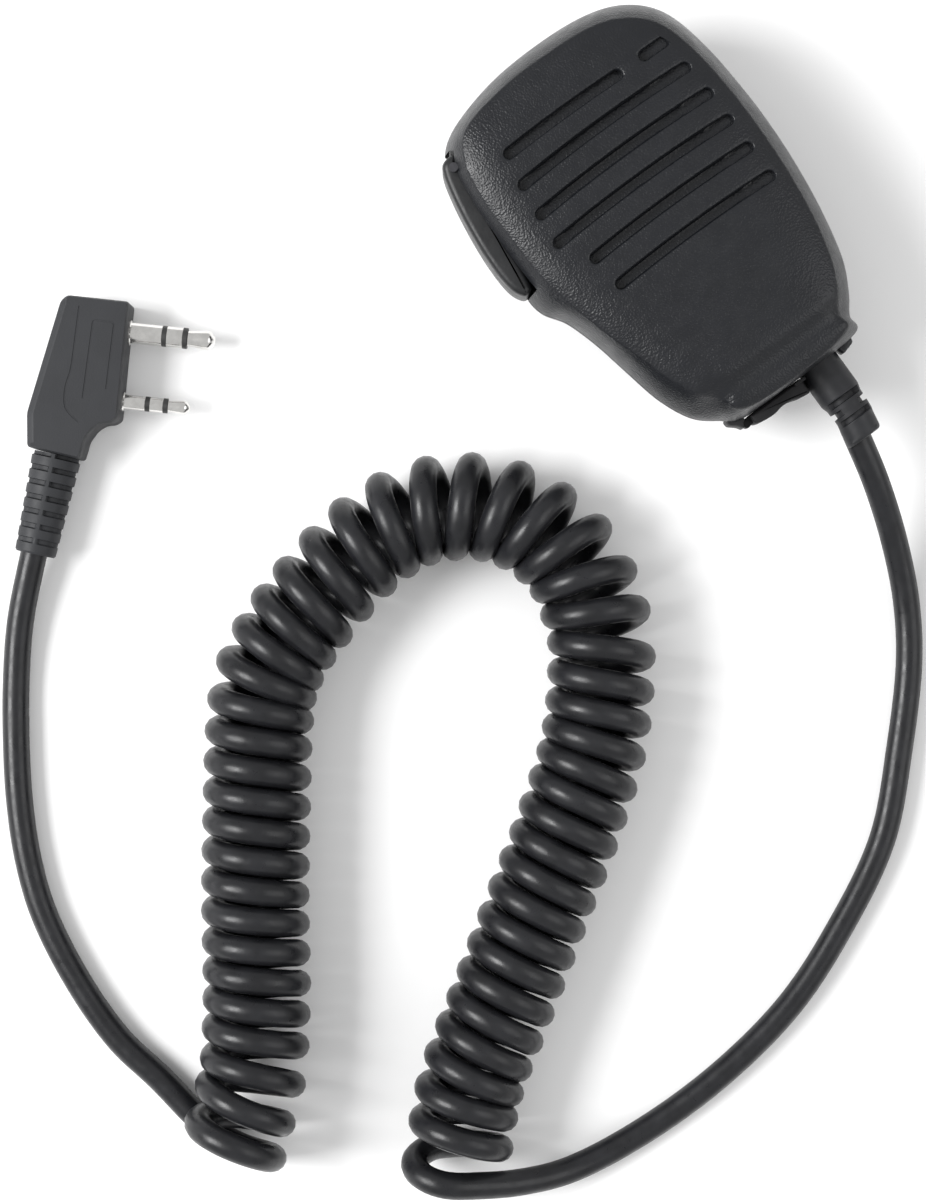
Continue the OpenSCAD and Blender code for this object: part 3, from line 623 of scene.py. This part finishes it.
def head_outline(mix, share):
    """A share of the head's outline: mix 0 is the rim's, 1 the brow's."""
    return HEAD_MID + (rim * (1 - mix) + brow * mix - HEAD_MID) * share


def head_ring(height, mix, share):
    """A ring round the head's side, which bends down at the chin."""
    flat = head_outline(mix, share)
    z = PART_Z + height - chin(flat[:, 1]) * smoothstep(height, 2.5, 8.5)
    return np.column_stack([flat, z])


def crease_ring(share):
    """A ring on the face, at a share of the crease's outline."""
    flat = HEAD_MID + (brow - HEAD_MID) * share
    return np.column_stack([flat, face_z(flat[:, 0], flat[:, 1])])


def level_ring(z, mix, share):
    """A level ring inside or under the head."""
    return raised(head_outline(mix, share), z)


# -------------------- sound slots

# Left end, right end and height up the face of each slot
SLOTS = [
    (-13.6, 9.3, 23.1), (12.9, 18.4, 22.9), (-14.7, 18.8, 18), (-15.2, 19.3, 12.6),
    (-15.6, 19.4, 7.3), (-12.3, 19.4, 1.8), (-11.4, 19.6, -3.9),
]
SLOT_HALF = 0.9
# The middle of a slot of twice this half length lies this much higher than its ends
SLOT_BOW = 0.55
BOW_HALF = 17
SLOT_STEP = 0.7
SLOT_CAP_STEPS = 9
# From the face down into a slot: distance outside its edge, and depth
SLOT_EDGE = [
    (0.55, 0), (0.34, 0.03), (0.18, 0.1), (0.06, 0.24), (0, 0.45), (-0.03, 0.95), (-0.06, 1.8),
    (-0.2, 2), (-0.42, 2.05),
]
SLOT_LOW_Z = ROOF_Z + 0.6
FACE_SPACING = 0.95
# Height of a row of even triangles, for its spacing
ROW_SHARE = 0.87
WELD_DISTANCE = 0.004
HOLE_SIDES = 48


def slot_ring(slot, grow):
    """Points round a slot, from its left end along the top, and the number along one side."""
    left, right = slot[0] + SLOT_HALF, slot[1] - SLOT_HALF
    radius = SLOT_HALF + grow
    along_side = max(4, round((right - left) / SLOT_STEP))
    side = np.linspace(left, right, along_side)
    turn = np.linspace(math.pi / 2, -math.pi / 2, SLOT_CAP_STEPS + 2)[1:-1]
    cap = np.column_stack([radius * np.cos(turn), radius * np.sin(turn)])
    ring = np.vstack([
        np.column_stack([side, np.full(along_side, radius)]),
        cap + (right, 0),
        np.column_stack([side[::-1], np.full(along_side, -radius)]),
        cap * (-1, -1) + (left, 0),
    ])
    middle = (slot[0] + slot[1]) / 2
    bow = SLOT_BOW * (1 - ((ring[:, 0] - middle) / BOW_HALF) ** 2) - SLOT_BOW / 2
    ring[:, 1] += slot[2] + bow
    return ring, along_side


def slot_mesh(slot):
    """Points and faces of a slot's lip, walls and floor."""
    points = []
    for grow, depth in SLOT_EDGE:
        ring, along_side = slot_ring(slot, grow)
        z = face_z(ring[:, 0], ring[:, 1]) - depth
        points.append(np.column_stack([ring, np.maximum(z, SLOT_LOW_Z - 0.1 * grow)]))
    count = len(points[0])
    faces = ring_faces(len(SLOT_EDGE), count)
    first = (len(SLOT_EDGE) - 1) * count
    top = [first + i for i in range(along_side)]
    low = [first + along_side + SLOT_CAP_STEPS + i for i in range(along_side)][::-1]
    floor = [(top[i], top[i + 1], low[i + 1], low[i]) for i in range(along_side - 1)]
    right_cap = [first + along_side + i for i in range(SLOT_CAP_STEPS)]
    left_cap = [first + 2 * along_side + SLOT_CAP_STEPS + i for i in range(SLOT_CAP_STEPS)]
    ends = [tuple([top[-1]] + right_cap + [low[-1]]), tuple([low[0]] + left_cap + [top[0]])]
    return np.vstack(points), faces + floor + ends


def inside(points, outline):
    """Which points lie inside a closed outline, by counting its crossings."""
    x, y = points[:, 0][:, None], points[:, 1][:, None]
    x0, y0 = outline[:, 0], outline[:, 1]
    x1, y1 = np.roll(x0, -1), np.roll(y0, -1)
    spans = (y0 > y) != (y1 > y)
    with np.errstate(divide="ignore", invalid="ignore"):
        crossing = x0 + (y - y0) * (x1 - x0) / (y1 - y0)
    return (np.sum(spans & (x < crossing), axis=1) % 2) == 1


def face_grid(edge):
    """Evenly spread points between the face's edge and the slots."""
    rows = []
    for j, y in enumerate(np.arange(-33, 36, FACE_SPACING * ROW_SHARE)):
        x = np.arange(-26, 27, FACE_SPACING) + (j % 2) * FACE_SPACING / 2
        rows.append(np.column_stack([x, np.full(len(x), y)]))
    grid = np.vstack(rows)
    inner = HEAD_MID + (edge - HEAD_MID) * 0.975
    grid = grid[inside(grid, inner)]
    for slot in SLOTS:
        grid = grid[~inside(grid, slot_ring(slot, SLOT_EDGE[0][0] + 0.45)[0])]
    return grid


def face_mesh():
    """Points and faces of the front face as triangles, open at the slots."""
    edge = crease_ring(FACE_SHARE)[:, :2]
    holes = [slot_ring(slot, SLOT_EDGE[0][0])[0] for slot in SLOTS]
    loops = [edge] + holes
    points = np.vstack(loops + [face_grid(edge)])
    edges = []
    first = 0
    for loop in loops:
        edges += [(first + i, first + (i + 1) % len(loop)) for i in range(len(loop))]
        first += len(loop)
    made = delaunay_2d_cdt([Vector(p) for p in points], edges, [], 0, 1e-6)
    flat = np.array([tuple(v) for v in made[0]])
    middles = np.array([flat[list(f)].mean(axis=0) for f in made[2]])
    keep = inside(middles, edge)
    for hole in holes:
        keep &= ~inside(middles, hole)
    faces = [tuple(f) for f, kept in zip(made[2], keep) if kept]
    return np.column_stack([flat, face_z(flat[:, 0], flat[:, 1])]), faces


def joined(parts):
    """Points and faces of several meshes as one."""
    points, faces, first = [], [], 0
    for part_points, part_faces in parts:
        points.append(part_points)
        faces += [tuple(first + i for i in face) for face in part_faces]
        first += len(part_points)
    return np.vstack(points), faces


def weld(piece):
    """Merges points that meet, and turns all faces outwards."""
    with editing(piece.data) as mesh:
        bmesh.ops.remove_doubles(mesh, verts=mesh.verts, dist=WELD_DISTANCE * MM)
        loose = [v for v in mesh.verts if not v.link_faces]
        bmesh.ops.delete(mesh, geom=loose, context="VERTS")
        bmesh.ops.recalc_face_normals(mesh, faces=mesh.faces)


def round_bar(centre, way, radius):
    """Points and faces of a cylinder from a point along a vector, for cutting holes."""
    way = Vector(way)
    turn = way.to_track_quat("Z", "Y").to_matrix()
    rings = []
    for share in (0, 1):
        ring = [
            Vector(centre) + way * share
            + turn @ Vector((radius * math.cos(a), radius * math.sin(a), 0))
            for a in np.linspace(0, 2 * math.pi, HOLE_SIDES, endpoint=False)
        ]
        rings.append(np.array([tuple(p) for p in ring]))
    return loft(rings)


# -------------------- talk bar

# Outlines of the bar and of the pocket that the shells leave for it and its travel
BAR_OUTLINE = [
    (-19.4, 28.6), (-21.2, 28.9), (-22.6, 27.6), (-23.9, 22.6), (-24.9, 15.6), (-25.2, 10),
    (-24.9, 6), (-23.8, 3.8), (-22.6, 3.7), (-21.7, 5), (-20.7, 11), (-20.3, 20), (-19.5, 25),
]
BAR_POCKET = [
    (-19.1, 29.2), (-22.2, 29.3), (-24, 27.6), (-28, 24), (-28, 3.3), (-23, 3.2), (-20.9, 4.2),
    (-19.4, 11), (-19.1, 20),
]
# Room above and below the bar
BAR_GAP = 0.35
# Height from the bar's end, and how far its edge is drawn in there
BAR_ROUND = [(0, 1.1), (0.12, 0.6), (0.4, 0.25), (0.85, 0.06), (1.5, 0)]


def outward(outline):
    """Unit vectors that point out of a closed outline at each of its points."""
    ahead = unit(np.roll(outline, -1, axis=0) - np.roll(outline, 1, axis=0))
    turn = np.sum(outline[:, 0] * np.roll(outline[:, 1], -1)
                  - np.roll(outline[:, 0], -1) * outline[:, 1])
    side = 1 if turn > 0 else -1
    return side * np.column_stack([ahead[:, 1], -ahead[:, 0]])


def both_ends(low, high, rounding):
    """Levels from low to high, with an edge's (height, inset) pairs at each end."""
    levels = [(low + h, inset) for h, inset in rounding]
    return levels + [(high - h, inset) for h, inset in reversed(rounding)]


def prism(outline, low, high, rounding=((0, 0),)):
    """Rings of an upright solid with rounded edges."""
    out = outward(outline)
    return [raised(outline - out * inset, z) for z, inset in both_ends(low, high, rounding)]


def make_talk_bar():
    """The long press-to-talk bar on the side."""
    low, high = box_mm("ptt_button")
    outline = catmull(BAR_OUTLINE, 6, closed=True)
    points, faces = loft(prism(outline, low[2], high[2], BAR_ROUND))
    bar = add_piece("talk_bar_cap", points, faces, "button_rubber", "talk_bar")
    sharpen_over(bar, 60)
    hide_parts("ptt_button")


def cut_bar_pocket(shell):
    """The opening that the talk bar sits in."""
    low, high = box_mm("ptt_button")
    outline = catmull(BAR_POCKET, 4, closed=True)
    cut_away(shell, *loft(prism(outline, low[2] - BAR_GAP, high[2] + BAR_GAP)))


# -------------------- the two shells

# From the parting plane up: height, way from rim to brow, share of the outline
WALL = [
    (0, 0, 0.985), (0.12, 0, 0.992), (0.3, 0.005, 1), (1.6, 0.06, 1), (3.3, 0.19, 1),
    (5, 0.36, 1), (6.4, 0.53, 1), (7.4, 0.68, 1), (8.1, 0.81, 1), (8.6, 0.92, 1),
    (8.85, 0.97, 1),
]
# From the wall on to the face: shares of the crease's outline
CREASE = [0.997, 0.99, 0.98, 0.967, 0.95, FACE_SHARE]
# From the back up to the parting plane: height over the back, share of the outline
REAR_WALL = [
    (0, 0.86), (0.1, 0.885), (0.4, 0.91), (0.9, 0.933), (1.6, 0.955), (2.6, 0.972), (4, 0.984),
]
# Sideways place and height of the earphone socket's middle
JACK_AXIS = (-0.6, 14.3)
JACK_HOLE_R = 3.1
# Where the housing screws sit in the back
PILLARS = [(-12, 28.6), (11.8, 30), (-11.3, -23), (17, -23.5)]
SCREW_HOLE_R = 2.15
# The clip's screw goes through here
CLIP_HOLE_AT = (0, 8)
CLIP_HOLE_R = 2.3


def even_chin(shell):
    """Draws out the crease where it turns tightly, round the lower end of the face."""
    with editing(shell.data) as mesh:
        outer = [v for v in mesh.verts if v.co.y < -23.5 * MM and v.co.z > (PART_Z + 2.2) * MM]
        chin_points = [v for v in outer if v.normal.z > -0.1
                       and face_share(v.co.x / MM, v.co.y / MM) > 0.9]
        for _ in range(4):
            bmesh.ops.smooth_vert(mesh, verts=chin_points, factor=0.5, use_axis_x=True,
                                  use_axis_y=True, use_axis_z=True)


def cut_jack_hole(shell):
    """The hole for the earphone socket, in the lower end."""
    x, z = JACK_AXIS
    cut_away(shell, *round_bar((x, -28.6, z), (0, -8, 0), JACK_HOLE_R))


def make_front_shell():
    """The crowned front shell: its inside, its side wall, its crease, its face and slots."""
    inner = [
        level_ring(ROOF_Z, 1, 0.8), level_ring(ROOF_Z - 0.7, 1, 0.87),
        level_ring(ROOF_Z - 2.3, 0.6, 0.9), level_ring(PART_Z + 3.5, 0.2, 0.905),
        level_ring(PART_Z, 0, 0.91),
    ]
    outer = [head_ring(*level) for level in WALL] + [crease_ring(share) for share in CREASE]
    count = len(rim)
    roof = tuple(range(count))
    shell = (np.vstack(inner + outer), ring_faces(len(inner + outer), count) + [roof])
    points, faces = joined([shell, face_mesh()] + [slot_mesh(slot) for slot in SLOTS])
    piece = add_piece("front_shell", points, faces, "shell_plastic", "head")
    weld(piece)
    even_chin(piece)
    cut_bar_pocket(piece)
    cut_jack_hole(piece)
    sharpen_over(piece, 42)
    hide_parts("front_housing")


def make_rear_shell():
    """The shallow rear shell, with the holes of the housing screws and the clip."""
    levels = [(BACK_Z + height, share) for height, share in REAR_WALL]
    levels += [(PART_Z - 2.5, 0.995), (PART_Z - 0.3, 1), (PART_Z - 0.12, 0.992), (PART_Z, 0.985)]
    outer = [level_ring(z, 0, share) for z, share in levels]
    inner = [
        level_ring(PART_Z, 0, 0.91), level_ring(PART_Z - 3.5, 0, 0.905),
        level_ring(INNER_FLOOR_Z + 1, 0, 0.88), level_ring(INNER_FLOOR_Z, 0, 0.83),
    ]
    points, faces = loft(outer + inner)
    piece = add_piece("rear_shell", points, faces, "shell_plastic", "head")
    cut_bar_pocket(piece)
    cut_jack_hole(piece)
    for x, y in PILLARS:
        cut_away(piece, *round_bar((x, y, BACK_Z - 1), (0, 0, 2.6), SCREW_HOLE_R))
    cut_away(piece, *round_bar((*CLIP_HOLE_AT, BACK_Z - 1), (0, 0, 4), CLIP_HOLE_R))
    sharpen_over(piece, 42)
    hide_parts("rear_housing")


def make_cord_lip():
    """The small lip of the rear shell beside the cord's boot."""
    outline = rounded([(12.6, -32.2), (15.9, -31.8), (15.6, -33.3), (13.2, -34)], 0.4, 4)
    points, faces = loft(prism(outline, 12.4, 16.2, [(0, 0.3), (0.1, 0.12), (0.3, 0)]))
    lip = add_piece("cord_lip", points, faces, "shell_plastic", "head")
    sharpen_over(lip, 50)
    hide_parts("rear_housing")


# -------------------- shapes turned on an axis

LATHE_SIDES = 64
BOOT_SIDES = 96


class Frame:
    """A place with its own axes: `out` along the part, `side` and `up` across it."""

    def __init__(self, origin, out, side):
        self.origin = np.array(origin, float)
        self.out = np.array(out, float) / np.linalg.norm(out)
        self.side = np.array(side, float) / np.linalg.norm(side)
        self.up = np.cross(self.side, self.out)
        if self.up[2] < 0:
            self.up = -self.up

    def ring(self, distance, radii, angles):
        """Points round the axis, at a distance along it."""
        return (self.origin + self.out * distance
                + np.outer(radii * np.cos(angles), self.side)
                + np.outer(radii * np.sin(angles), self.up))


def lathe(at, profile):
    """Points and faces of a solid turned from (distance, radius) pairs."""
    angles = np.linspace(0, 2 * math.pi, LATHE_SIDES, endpoint=False)
    return loft([at.ring(d, np.full(LATHE_SIDES, r), angles) for d, r in profile])


def window(x, start, end, soft):
    """1 between start and end, and 0 outside them, with soft edges."""
    return smoothstep(x, start - soft, start) * (1 - smoothstep(x, end, end + soft))


def angle_gap(angles, centre):
    """How far each angle is from a direction and its opposite."""
    return np.abs((angles - centre + math.pi / 2) % math.pi - math.pi / 2)


# -------------------- strain relief

RELIEF_AT = (9, -32.7, 14.3)
# The boot leans this way from here on, per millimetre of its length
RELIEF_BEND = (-0.156, 0, -0.087)
RELIEF_BEND_FROM = 9.6
# Distance along the boot and its outer radius
RELIEF_PROFILE = [
    (-5.1, 4.35), (-2.7, 4.35), (-2.66, 3.6), (6.3, 3.6), (6.6, 3.52), (7.5, 3.26), (8.4, 3.24),
    (9.2, 3.18), (10.1, 3.16), (10.9, 3.2), (13.9, 3.2), (14.25, 3.08), (14.4, 2.85),
]
# Start and end of each slot, and the direction it is open to
RELIEF_SLOTS = [(6.62, 7.5, math.pi / 2), (8.42, 9.25, 0), (10.1, 10.9, math.pi / 2)]
RELIEF_CORE_R = 2.5


def make_strain_relief():
    """The cord's boot at the microphone, with three rows of slots and an end collar."""
    at = Frame(RELIEF_AT, (0, -1, 0), (1, 0, 0))
    angles = np.linspace(0, 2 * math.pi, BOOT_SIDES, endpoint=False)
    dense = np.arange(6.2, 11.4, 0.09)
    places = np.unique(np.concatenate([[d for d, _ in RELIEF_PROFILE], dense,
                                       np.arange(11.5, 14, 0.4)]))
    rings = []
    for d in places:
        outer = np.interp(d, *zip(*RELIEF_PROFILE))
        radii = np.full(len(angles), outer)
        for start, end, way in RELIEF_SLOTS:
            open_at = 1 - smoothstep(angle_gap(angles, way), math.radians(52), math.radians(60))
            radii -= (outer - RELIEF_CORE_R) * open_at * window(d, start, end, 0.09)
        bend = max(0, d - RELIEF_BEND_FROM)
        bend = bend * min(1, bend / 2)
        rings.append(at.ring(d, radii, angles) + np.array(RELIEF_BEND) * bend)
    relief = add_piece("strain_relief_boot", *loft(rings), "relief_rubber", "head")
    sharpen_over(relief, 50)
    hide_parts("strain_relief")
    return relief


# -------------------- plug

# The plug's own frame starts at the foot of the large pin, which points along its x
PLUG_AT = np.array([-79.2, 38.7, 5])
PLUG_TURN = math.radians(-41.7)
PLUG_THICK = 10
PLUG_OUTLINE = [
    (0, 4.8), (-10.3, 4.9), (-11.3, 3.8), (-15, -15.1), (-14.4, -20.7), (-5.6, -21.9),
    (-5, -18.6), (-3.8, -16.6), (-2.4, -15.6), (-1, -15.4), (0, -14.6),
]
# Height above a flat side, and how far the edge is drawn in there
PLUG_EDGE = [(0, 0.85), (0.12, 0.68), (0.45, 0.36), (0.8, 0.08), (1.05, 0)]
# Engraved lines of the plug's upper face
LONG_LINE = [(-8, 3.2), (-8.15, -2), (-8.35, -7.2), (-8.95, -10.4), (-8.6, -13.7), (-6.3, -15.8)]
PANEL_LINE = [(-5.95, -11.9), (-5.5, 1.15), (-2, 1.05), (-2.25, -10)]
BOOT_START = np.array([-9.9, -21.4])
BOOT_END = np.array([-11.9, -38.2])
BOOT_RADII = (4.1, 3.4)
BOOT_CORE_R = 3.05
BOOT_RIBS = 7
# Sideways place, radius, length and where each insulating band starts
LARGE_PIN = {"y": 0, "r": 1.75, "length": 14.5, "bands": (5.6, 9.05)}
SMALL_PIN = {"y": -11.5, "r": 1.25, "length": 11.4, "bands": (3.9, 6.9)}
BAND = 0.75
# A pin's tip: share of its length, and share of the pin's radius
TIP_SHAPE = [
    (0, 0.7), (0.02, 0.76), (0.1, 0.76), (0.18, 0.78), (0.5, 0.88), (0.7, 0.93),
    (0.75, 0.92), (0.8, 0.86), (0.87, 0.68), (0.93, 0.5), (0.97, 0.36), (0.99, 0.24), (1, 0.1),
]


def on_plug(points):
    """Points of the plug's own frame in the scene's frame."""
    p = np.asarray(points, float)
    c, s = math.cos(PLUG_TURN), math.sin(PLUG_TURN)
    turned = np.column_stack([p[:, 0] * c - p[:, 1] * s, p[:, 0] * s + p[:, 1] * c, p[:, 2]])
    return turned + PLUG_AT


def corner_arc(before, corner, after, radius, steps):
    """A corner between two straight sides, cut to an arc."""
    sides = [point - corner for point in (before, after)]
    lengths = [np.linalg.norm(side) for side in sides]
    reach = min(radius, 0.4 * min(lengths))
    a, b = (corner + side / length * reach for side, length in zip(sides, lengths))
    return [a * (1 - t) ** 2 + 2 * corner * t * (1 - t) + b * t ** 2
            for t in np.linspace(0, 1, steps)]


def rounded(outline, radius, steps=5):
    """A closed outline with its corners cut to arcs."""
    p = np.asarray(outline, float)
    rows = []
    for corner in zip(np.roll(p, 1, axis=0), p, np.roll(p, -1, axis=0)):
        rows += corner_arc(*corner, radius, steps)
    return np.array(rows)


def bent_line(points, radius):
    """An open line with its corners cut to arcs."""
    p = np.asarray(points, float)
    rows = [p[0]]
    for corner in zip(p, p[1:], p[2:]):
        rows += corner_arc(*corner, radius, steps=6)
    return np.array(rows + [p[-1]])


def ribbon(line, width, low, high):
    """Rings of a thin upright solid along a line, for cutting a groove."""
    ahead = unit(np.gradient(line, axis=0))
    side = np.column_stack([-ahead[:, 1], ahead[:, 0]]) * width / 2
    outline = np.vstack([line + side, (line - side)[::-1]])
    return prism(outline, low, high)


def make_plug_body():
    """The moulded plug, its back edge well bevelled, with lines engraved in its upper face."""
    outline = rounded(PLUG_OUTLINE, 0.6)
    out = outward(outline)
    back_edge = 0.35 + 1.05 * smoothstep(-out[:, 0], 0.5, 0.9)
    half = PLUG_THICK / 2
    rings = [on_plug(raised(outline - out * (inset * back_edge)[:, None], z))
             for z, inset in both_ends(-half, half, PLUG_EDGE)]
    body = add_piece("plug_shell", *loft(rings), "plug_plastic", "head")
    for line in (catmull(LONG_LINE, 5), bent_line(PANEL_LINE, 0.6)):
        groove = [on_plug(ring) for ring in ribbon(line, 0.3, half - 0.09, half + 0.5)]
        cut_away(body, *loft(groove))
    sharpen_over(body, 18)
    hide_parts("plug_body")
    return body


def make_plug_boot():
    """The plug's tapered boot: grooves all round but for a web along its top and bottom."""
    start = on_plug([(*BOOT_START, 0)])[0]
    end = on_plug([(*BOOT_END, 0)])[0]
    length = np.linalg.norm(end - start)
    at = Frame(start, end - start, np.cross(end - start, (0, 0, 1)))
    pitch = length / BOOT_RIBS
    angles = np.linspace(0, 2 * math.pi, BOOT_SIDES, endpoint=False)
    from_top = angle_gap(angles, math.pi / 2)
    web = smoothstep(from_top, math.radians(5), math.radians(10))
    web *= 1 - 0.7 * smoothstep(from_top, math.radians(62), math.radians(84))
    places = np.unique(np.concatenate([
        np.arange(0, length - 0.3, 0.11), [length - 0.3, length - 0.12, length]]))
    rings = []
    for d in places:
        outer = BOOT_RADII[0] + (BOOT_RADII[1] - BOOT_RADII[0]) * d / length
        outer -= 0.25 * smoothstep(d, length - 0.35, length)
        groove = window((d + 0.2) % pitch, 0.1, 0.8, 0.14)
        if d > length - 0.5:
            groove = 0
        rings.append(at.ring(d, outer - (outer - BOOT_CORE_R) * groove * web, angles))
    boot = add_piece("plug_boot_ribbed", *loft(rings), "plug_plastic", "head")
    sharpen_over(boot, 50)
    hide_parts("plug_boot")
    return boot


def edged(start, end, radius, bevel):
    """The profile of a stretch of constant radius with small bevels at both ends."""
    return [(start, radius - bevel), (start + bevel, radius), (end - bevel, radius),
            (end, radius - bevel)]


def pin_profiles(pin):
    """Profiles of a pin's metal parts by name, and of its two insulating bands."""
    r = pin["r"]
    first, second = pin["bands"]
    sleeve = edged(-2, 0.4, r + 0.35, 0.12)
    sleeve += [(0.42, r), (first - 0.05, r), (first, r - 0.05)]
    ring = edged(first + BAND, second, r, 0.05)
    tip_start = second + BAND
    tip_length = pin["length"] - tip_start
    tip = [(tip_start + tip_length * share, r * r_share) for share, r_share in TIP_SHAPE]
    bands = [edged(start, start + BAND, r - 0.005, 0.02) for start in (first, second)]
    return {"sleeve": sleeve, "ring": ring, "tip": tip}, bands


def make_pin(pin, size):
    """One plug pin: sleeve with its foot, ring, tip and the two bands between them."""
    foot = on_plug([(0, pin["y"], 0)])[0]
    out = on_plug([(1, pin["y"], 0)])[0] - foot
    at = Frame(foot, out, np.cross(out, (0, 0, 1)))
    metal, bands = pin_profiles(pin)
    made = []
    for part, profile in metal.items():
        piece = add_piece(f"{size}_{part}", *lathe(at, profile), "plated", "head")
        sharpen_over(piece, 35)
        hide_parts(f"{size}_pin_{part}")
        made.append(piece)
    points, faces = joined([lathe(at, profile) for profile in bands])
    piece = add_piece(f"{size}_bands", points, faces, "insulator", "head")
    sharpen_over(piece, 35)
    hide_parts(f"{size}_pin_insulators")
    return made + [piece]


# -------------------- jack cover

COVER_OUTLINE = [
    (-5.3, -32.98), (4.95, -32.98), (4.98, -35.85), (3.2, -35.6), (1.5, -35.02), (-0.3, -34.95),
    (-1.5, -35.25), (-2.8, -35.25), (-4.6, -34.95), (-5.3, -34.6),
]
COVER_HINGE = (-6.2, -33.9)
HINGE_R = 0.69
COVER_EDGE = [(0, 0.45), (0.12, 0.2), (0.4, 0)]


def hinge_outline():
    """The strap from the hinge's barrel to the cover's block."""
    around = np.radians(np.arange(80, 301, 20))
    barrel = np.column_stack([np.cos(around), np.sin(around)]) * HINGE_R + COVER_HINGE
    return np.vstack([barrel, [(-5, -34.45), (-5, -33.05), (-5.7, -33.05)]])


def make_jack_cover():
    """The socket's rubber cover: its block, a tab to lift it by, and its strap."""
    base = box_mm("jack_cover")[0][2]
    block = rounded(COVER_OUTLINE, 0.4, 4)
    tab = rounded([(3.4, -33.1), (5.55, -33.1), (5.55, -33.68), (3.4, -33.68)], 0.2, 4)
    points, faces = joined([
        loft(prism(block, base, base + 7, COVER_EDGE)),
        loft(prism(tab, base + 6, base + 7.8, [(0, 0.1), (0.15, 0)])),
        loft(prism(hinge_outline(), base + 2.02, base + 4.98, [(0, 0.08), (0.1, 0)])),
    ])
    cover = add_piece("jack_cover_flap", points, faces, "cover_rubber", "socket_flap")
    sharpen_over(cover, 50)
    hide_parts("jack_cover")


def make_cover_anchor():
    """The cover's fixed end, caught between the shells."""
    low, high = box_mm("jack_cover_anchor")
    outline = [
        (low[0], -32.4), (low[0], high[1]), (high[0] - 0.02, high[1]), (high[0] - 0.02, -33.1),
        (-6.62, -33.3), (-6.85, -33.62), (-6.95, -33.9), (-6.85, -34.2), (-7.15, -34.15),
        (-7.5, -33.5), (-8.2, -32.9),
    ]
    points, faces = loft(
        prism(rounded(outline, 0.3, 3), low[2], high[2], [(0, 0.15), (0.2, 0)]))
    anchor = add_piece("jack_cover_root", points, faces, "cover_rubber", "head")
    sharpen_over(anchor, 50)
    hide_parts("jack_cover_anchor")


# -------------------- clip and screws


def softened(node, name, slot, body, width_mm):
    """The node's own shape with its edges rounded."""
    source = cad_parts[node]
    data = source.data.copy()
    data.name = name
    with editing(data) as mesh:
        mesh.transform(source.matrix_world)
        bmesh.ops.remove_doubles(mesh, verts=mesh.verts, dist=1e-6)
        bmesh.ops.dissolve_limit(mesh, angle_limit=math.radians(2), verts=mesh.verts,
                                 edges=mesh.edges)
    data.materials.clear()
    data.materials.append(MATERIALS[slot])
    piece = new_object(name, data)
    bevel = piece.modifiers.new("round", "BEVEL")
    bevel.width = width_mm * MM
    bevel.segments = 3
    bevel.limit_method = "ANGLE"
    bevel.angle_limit = math.radians(40)
    apply_modifiers(piece)
    piece.data.polygons.foreach_set("use_smooth", [True] * len(piece.data.polygons))
    sharpen_over(piece, 35)
    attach(piece, body)
    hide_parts(node)


make_talk_bar()
make_cord_lip()
make_front_shell()
make_rear_shell()
relief = make_strain_relief()
plug_pieces = [make_plug_body(), make_plug_boot()]
plug_pieces += make_pin(LARGE_PIN, "large") + make_pin(SMALL_PIN, "small")
make_jack_cover()
make_cover_anchor()
softened("clip_base", "clip_plate", "shell_plastic", "clip", 0.3)
softened("clip_jaw", "clip_lever_arm", "shell_plastic", "clip_lever", 0.35)
softened("clip_screw", "clip_screw_turned", "steel", "head", 0.12)

# -------------------- CAD nodes that stay

NODE_SLOTS = {
    "cover_rubber": ["cord_tail"],
    "plated": ["mic_capsule", "clip_pin", "clip_spring", "speaker_magnet"],
    "steel": ["housing_screws", "board_screws", "clamp_screws", "clip_washer", "speaker_basket"],
    "brass": ["clip_insert"],
    "board": ["circuit_board"],
    "dark_parts": ["board_parts", "ear_jack", "ptt_switch", "speaker_gasket", "speaker_cone",
                   "mic_boot", "ptt_pivot_pin"],
    "pale_plastic": ["ptt_plunger", "cord_clamp"],
    "cloth": ["grille_cloth"],
    "wire": ["cord_cores", "speaker_wires"],
}


def dress_cad_nodes():
    """Gives the hidden working parts, which are shown as the CAD has them, their materials."""
    for slot, names in NODE_SLOTS.items():
        for name in names:
            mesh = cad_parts[name].data
            mesh.materials.clear()
            mesh.materials.append(MATERIALS[slot])


dress_cad_nodes()
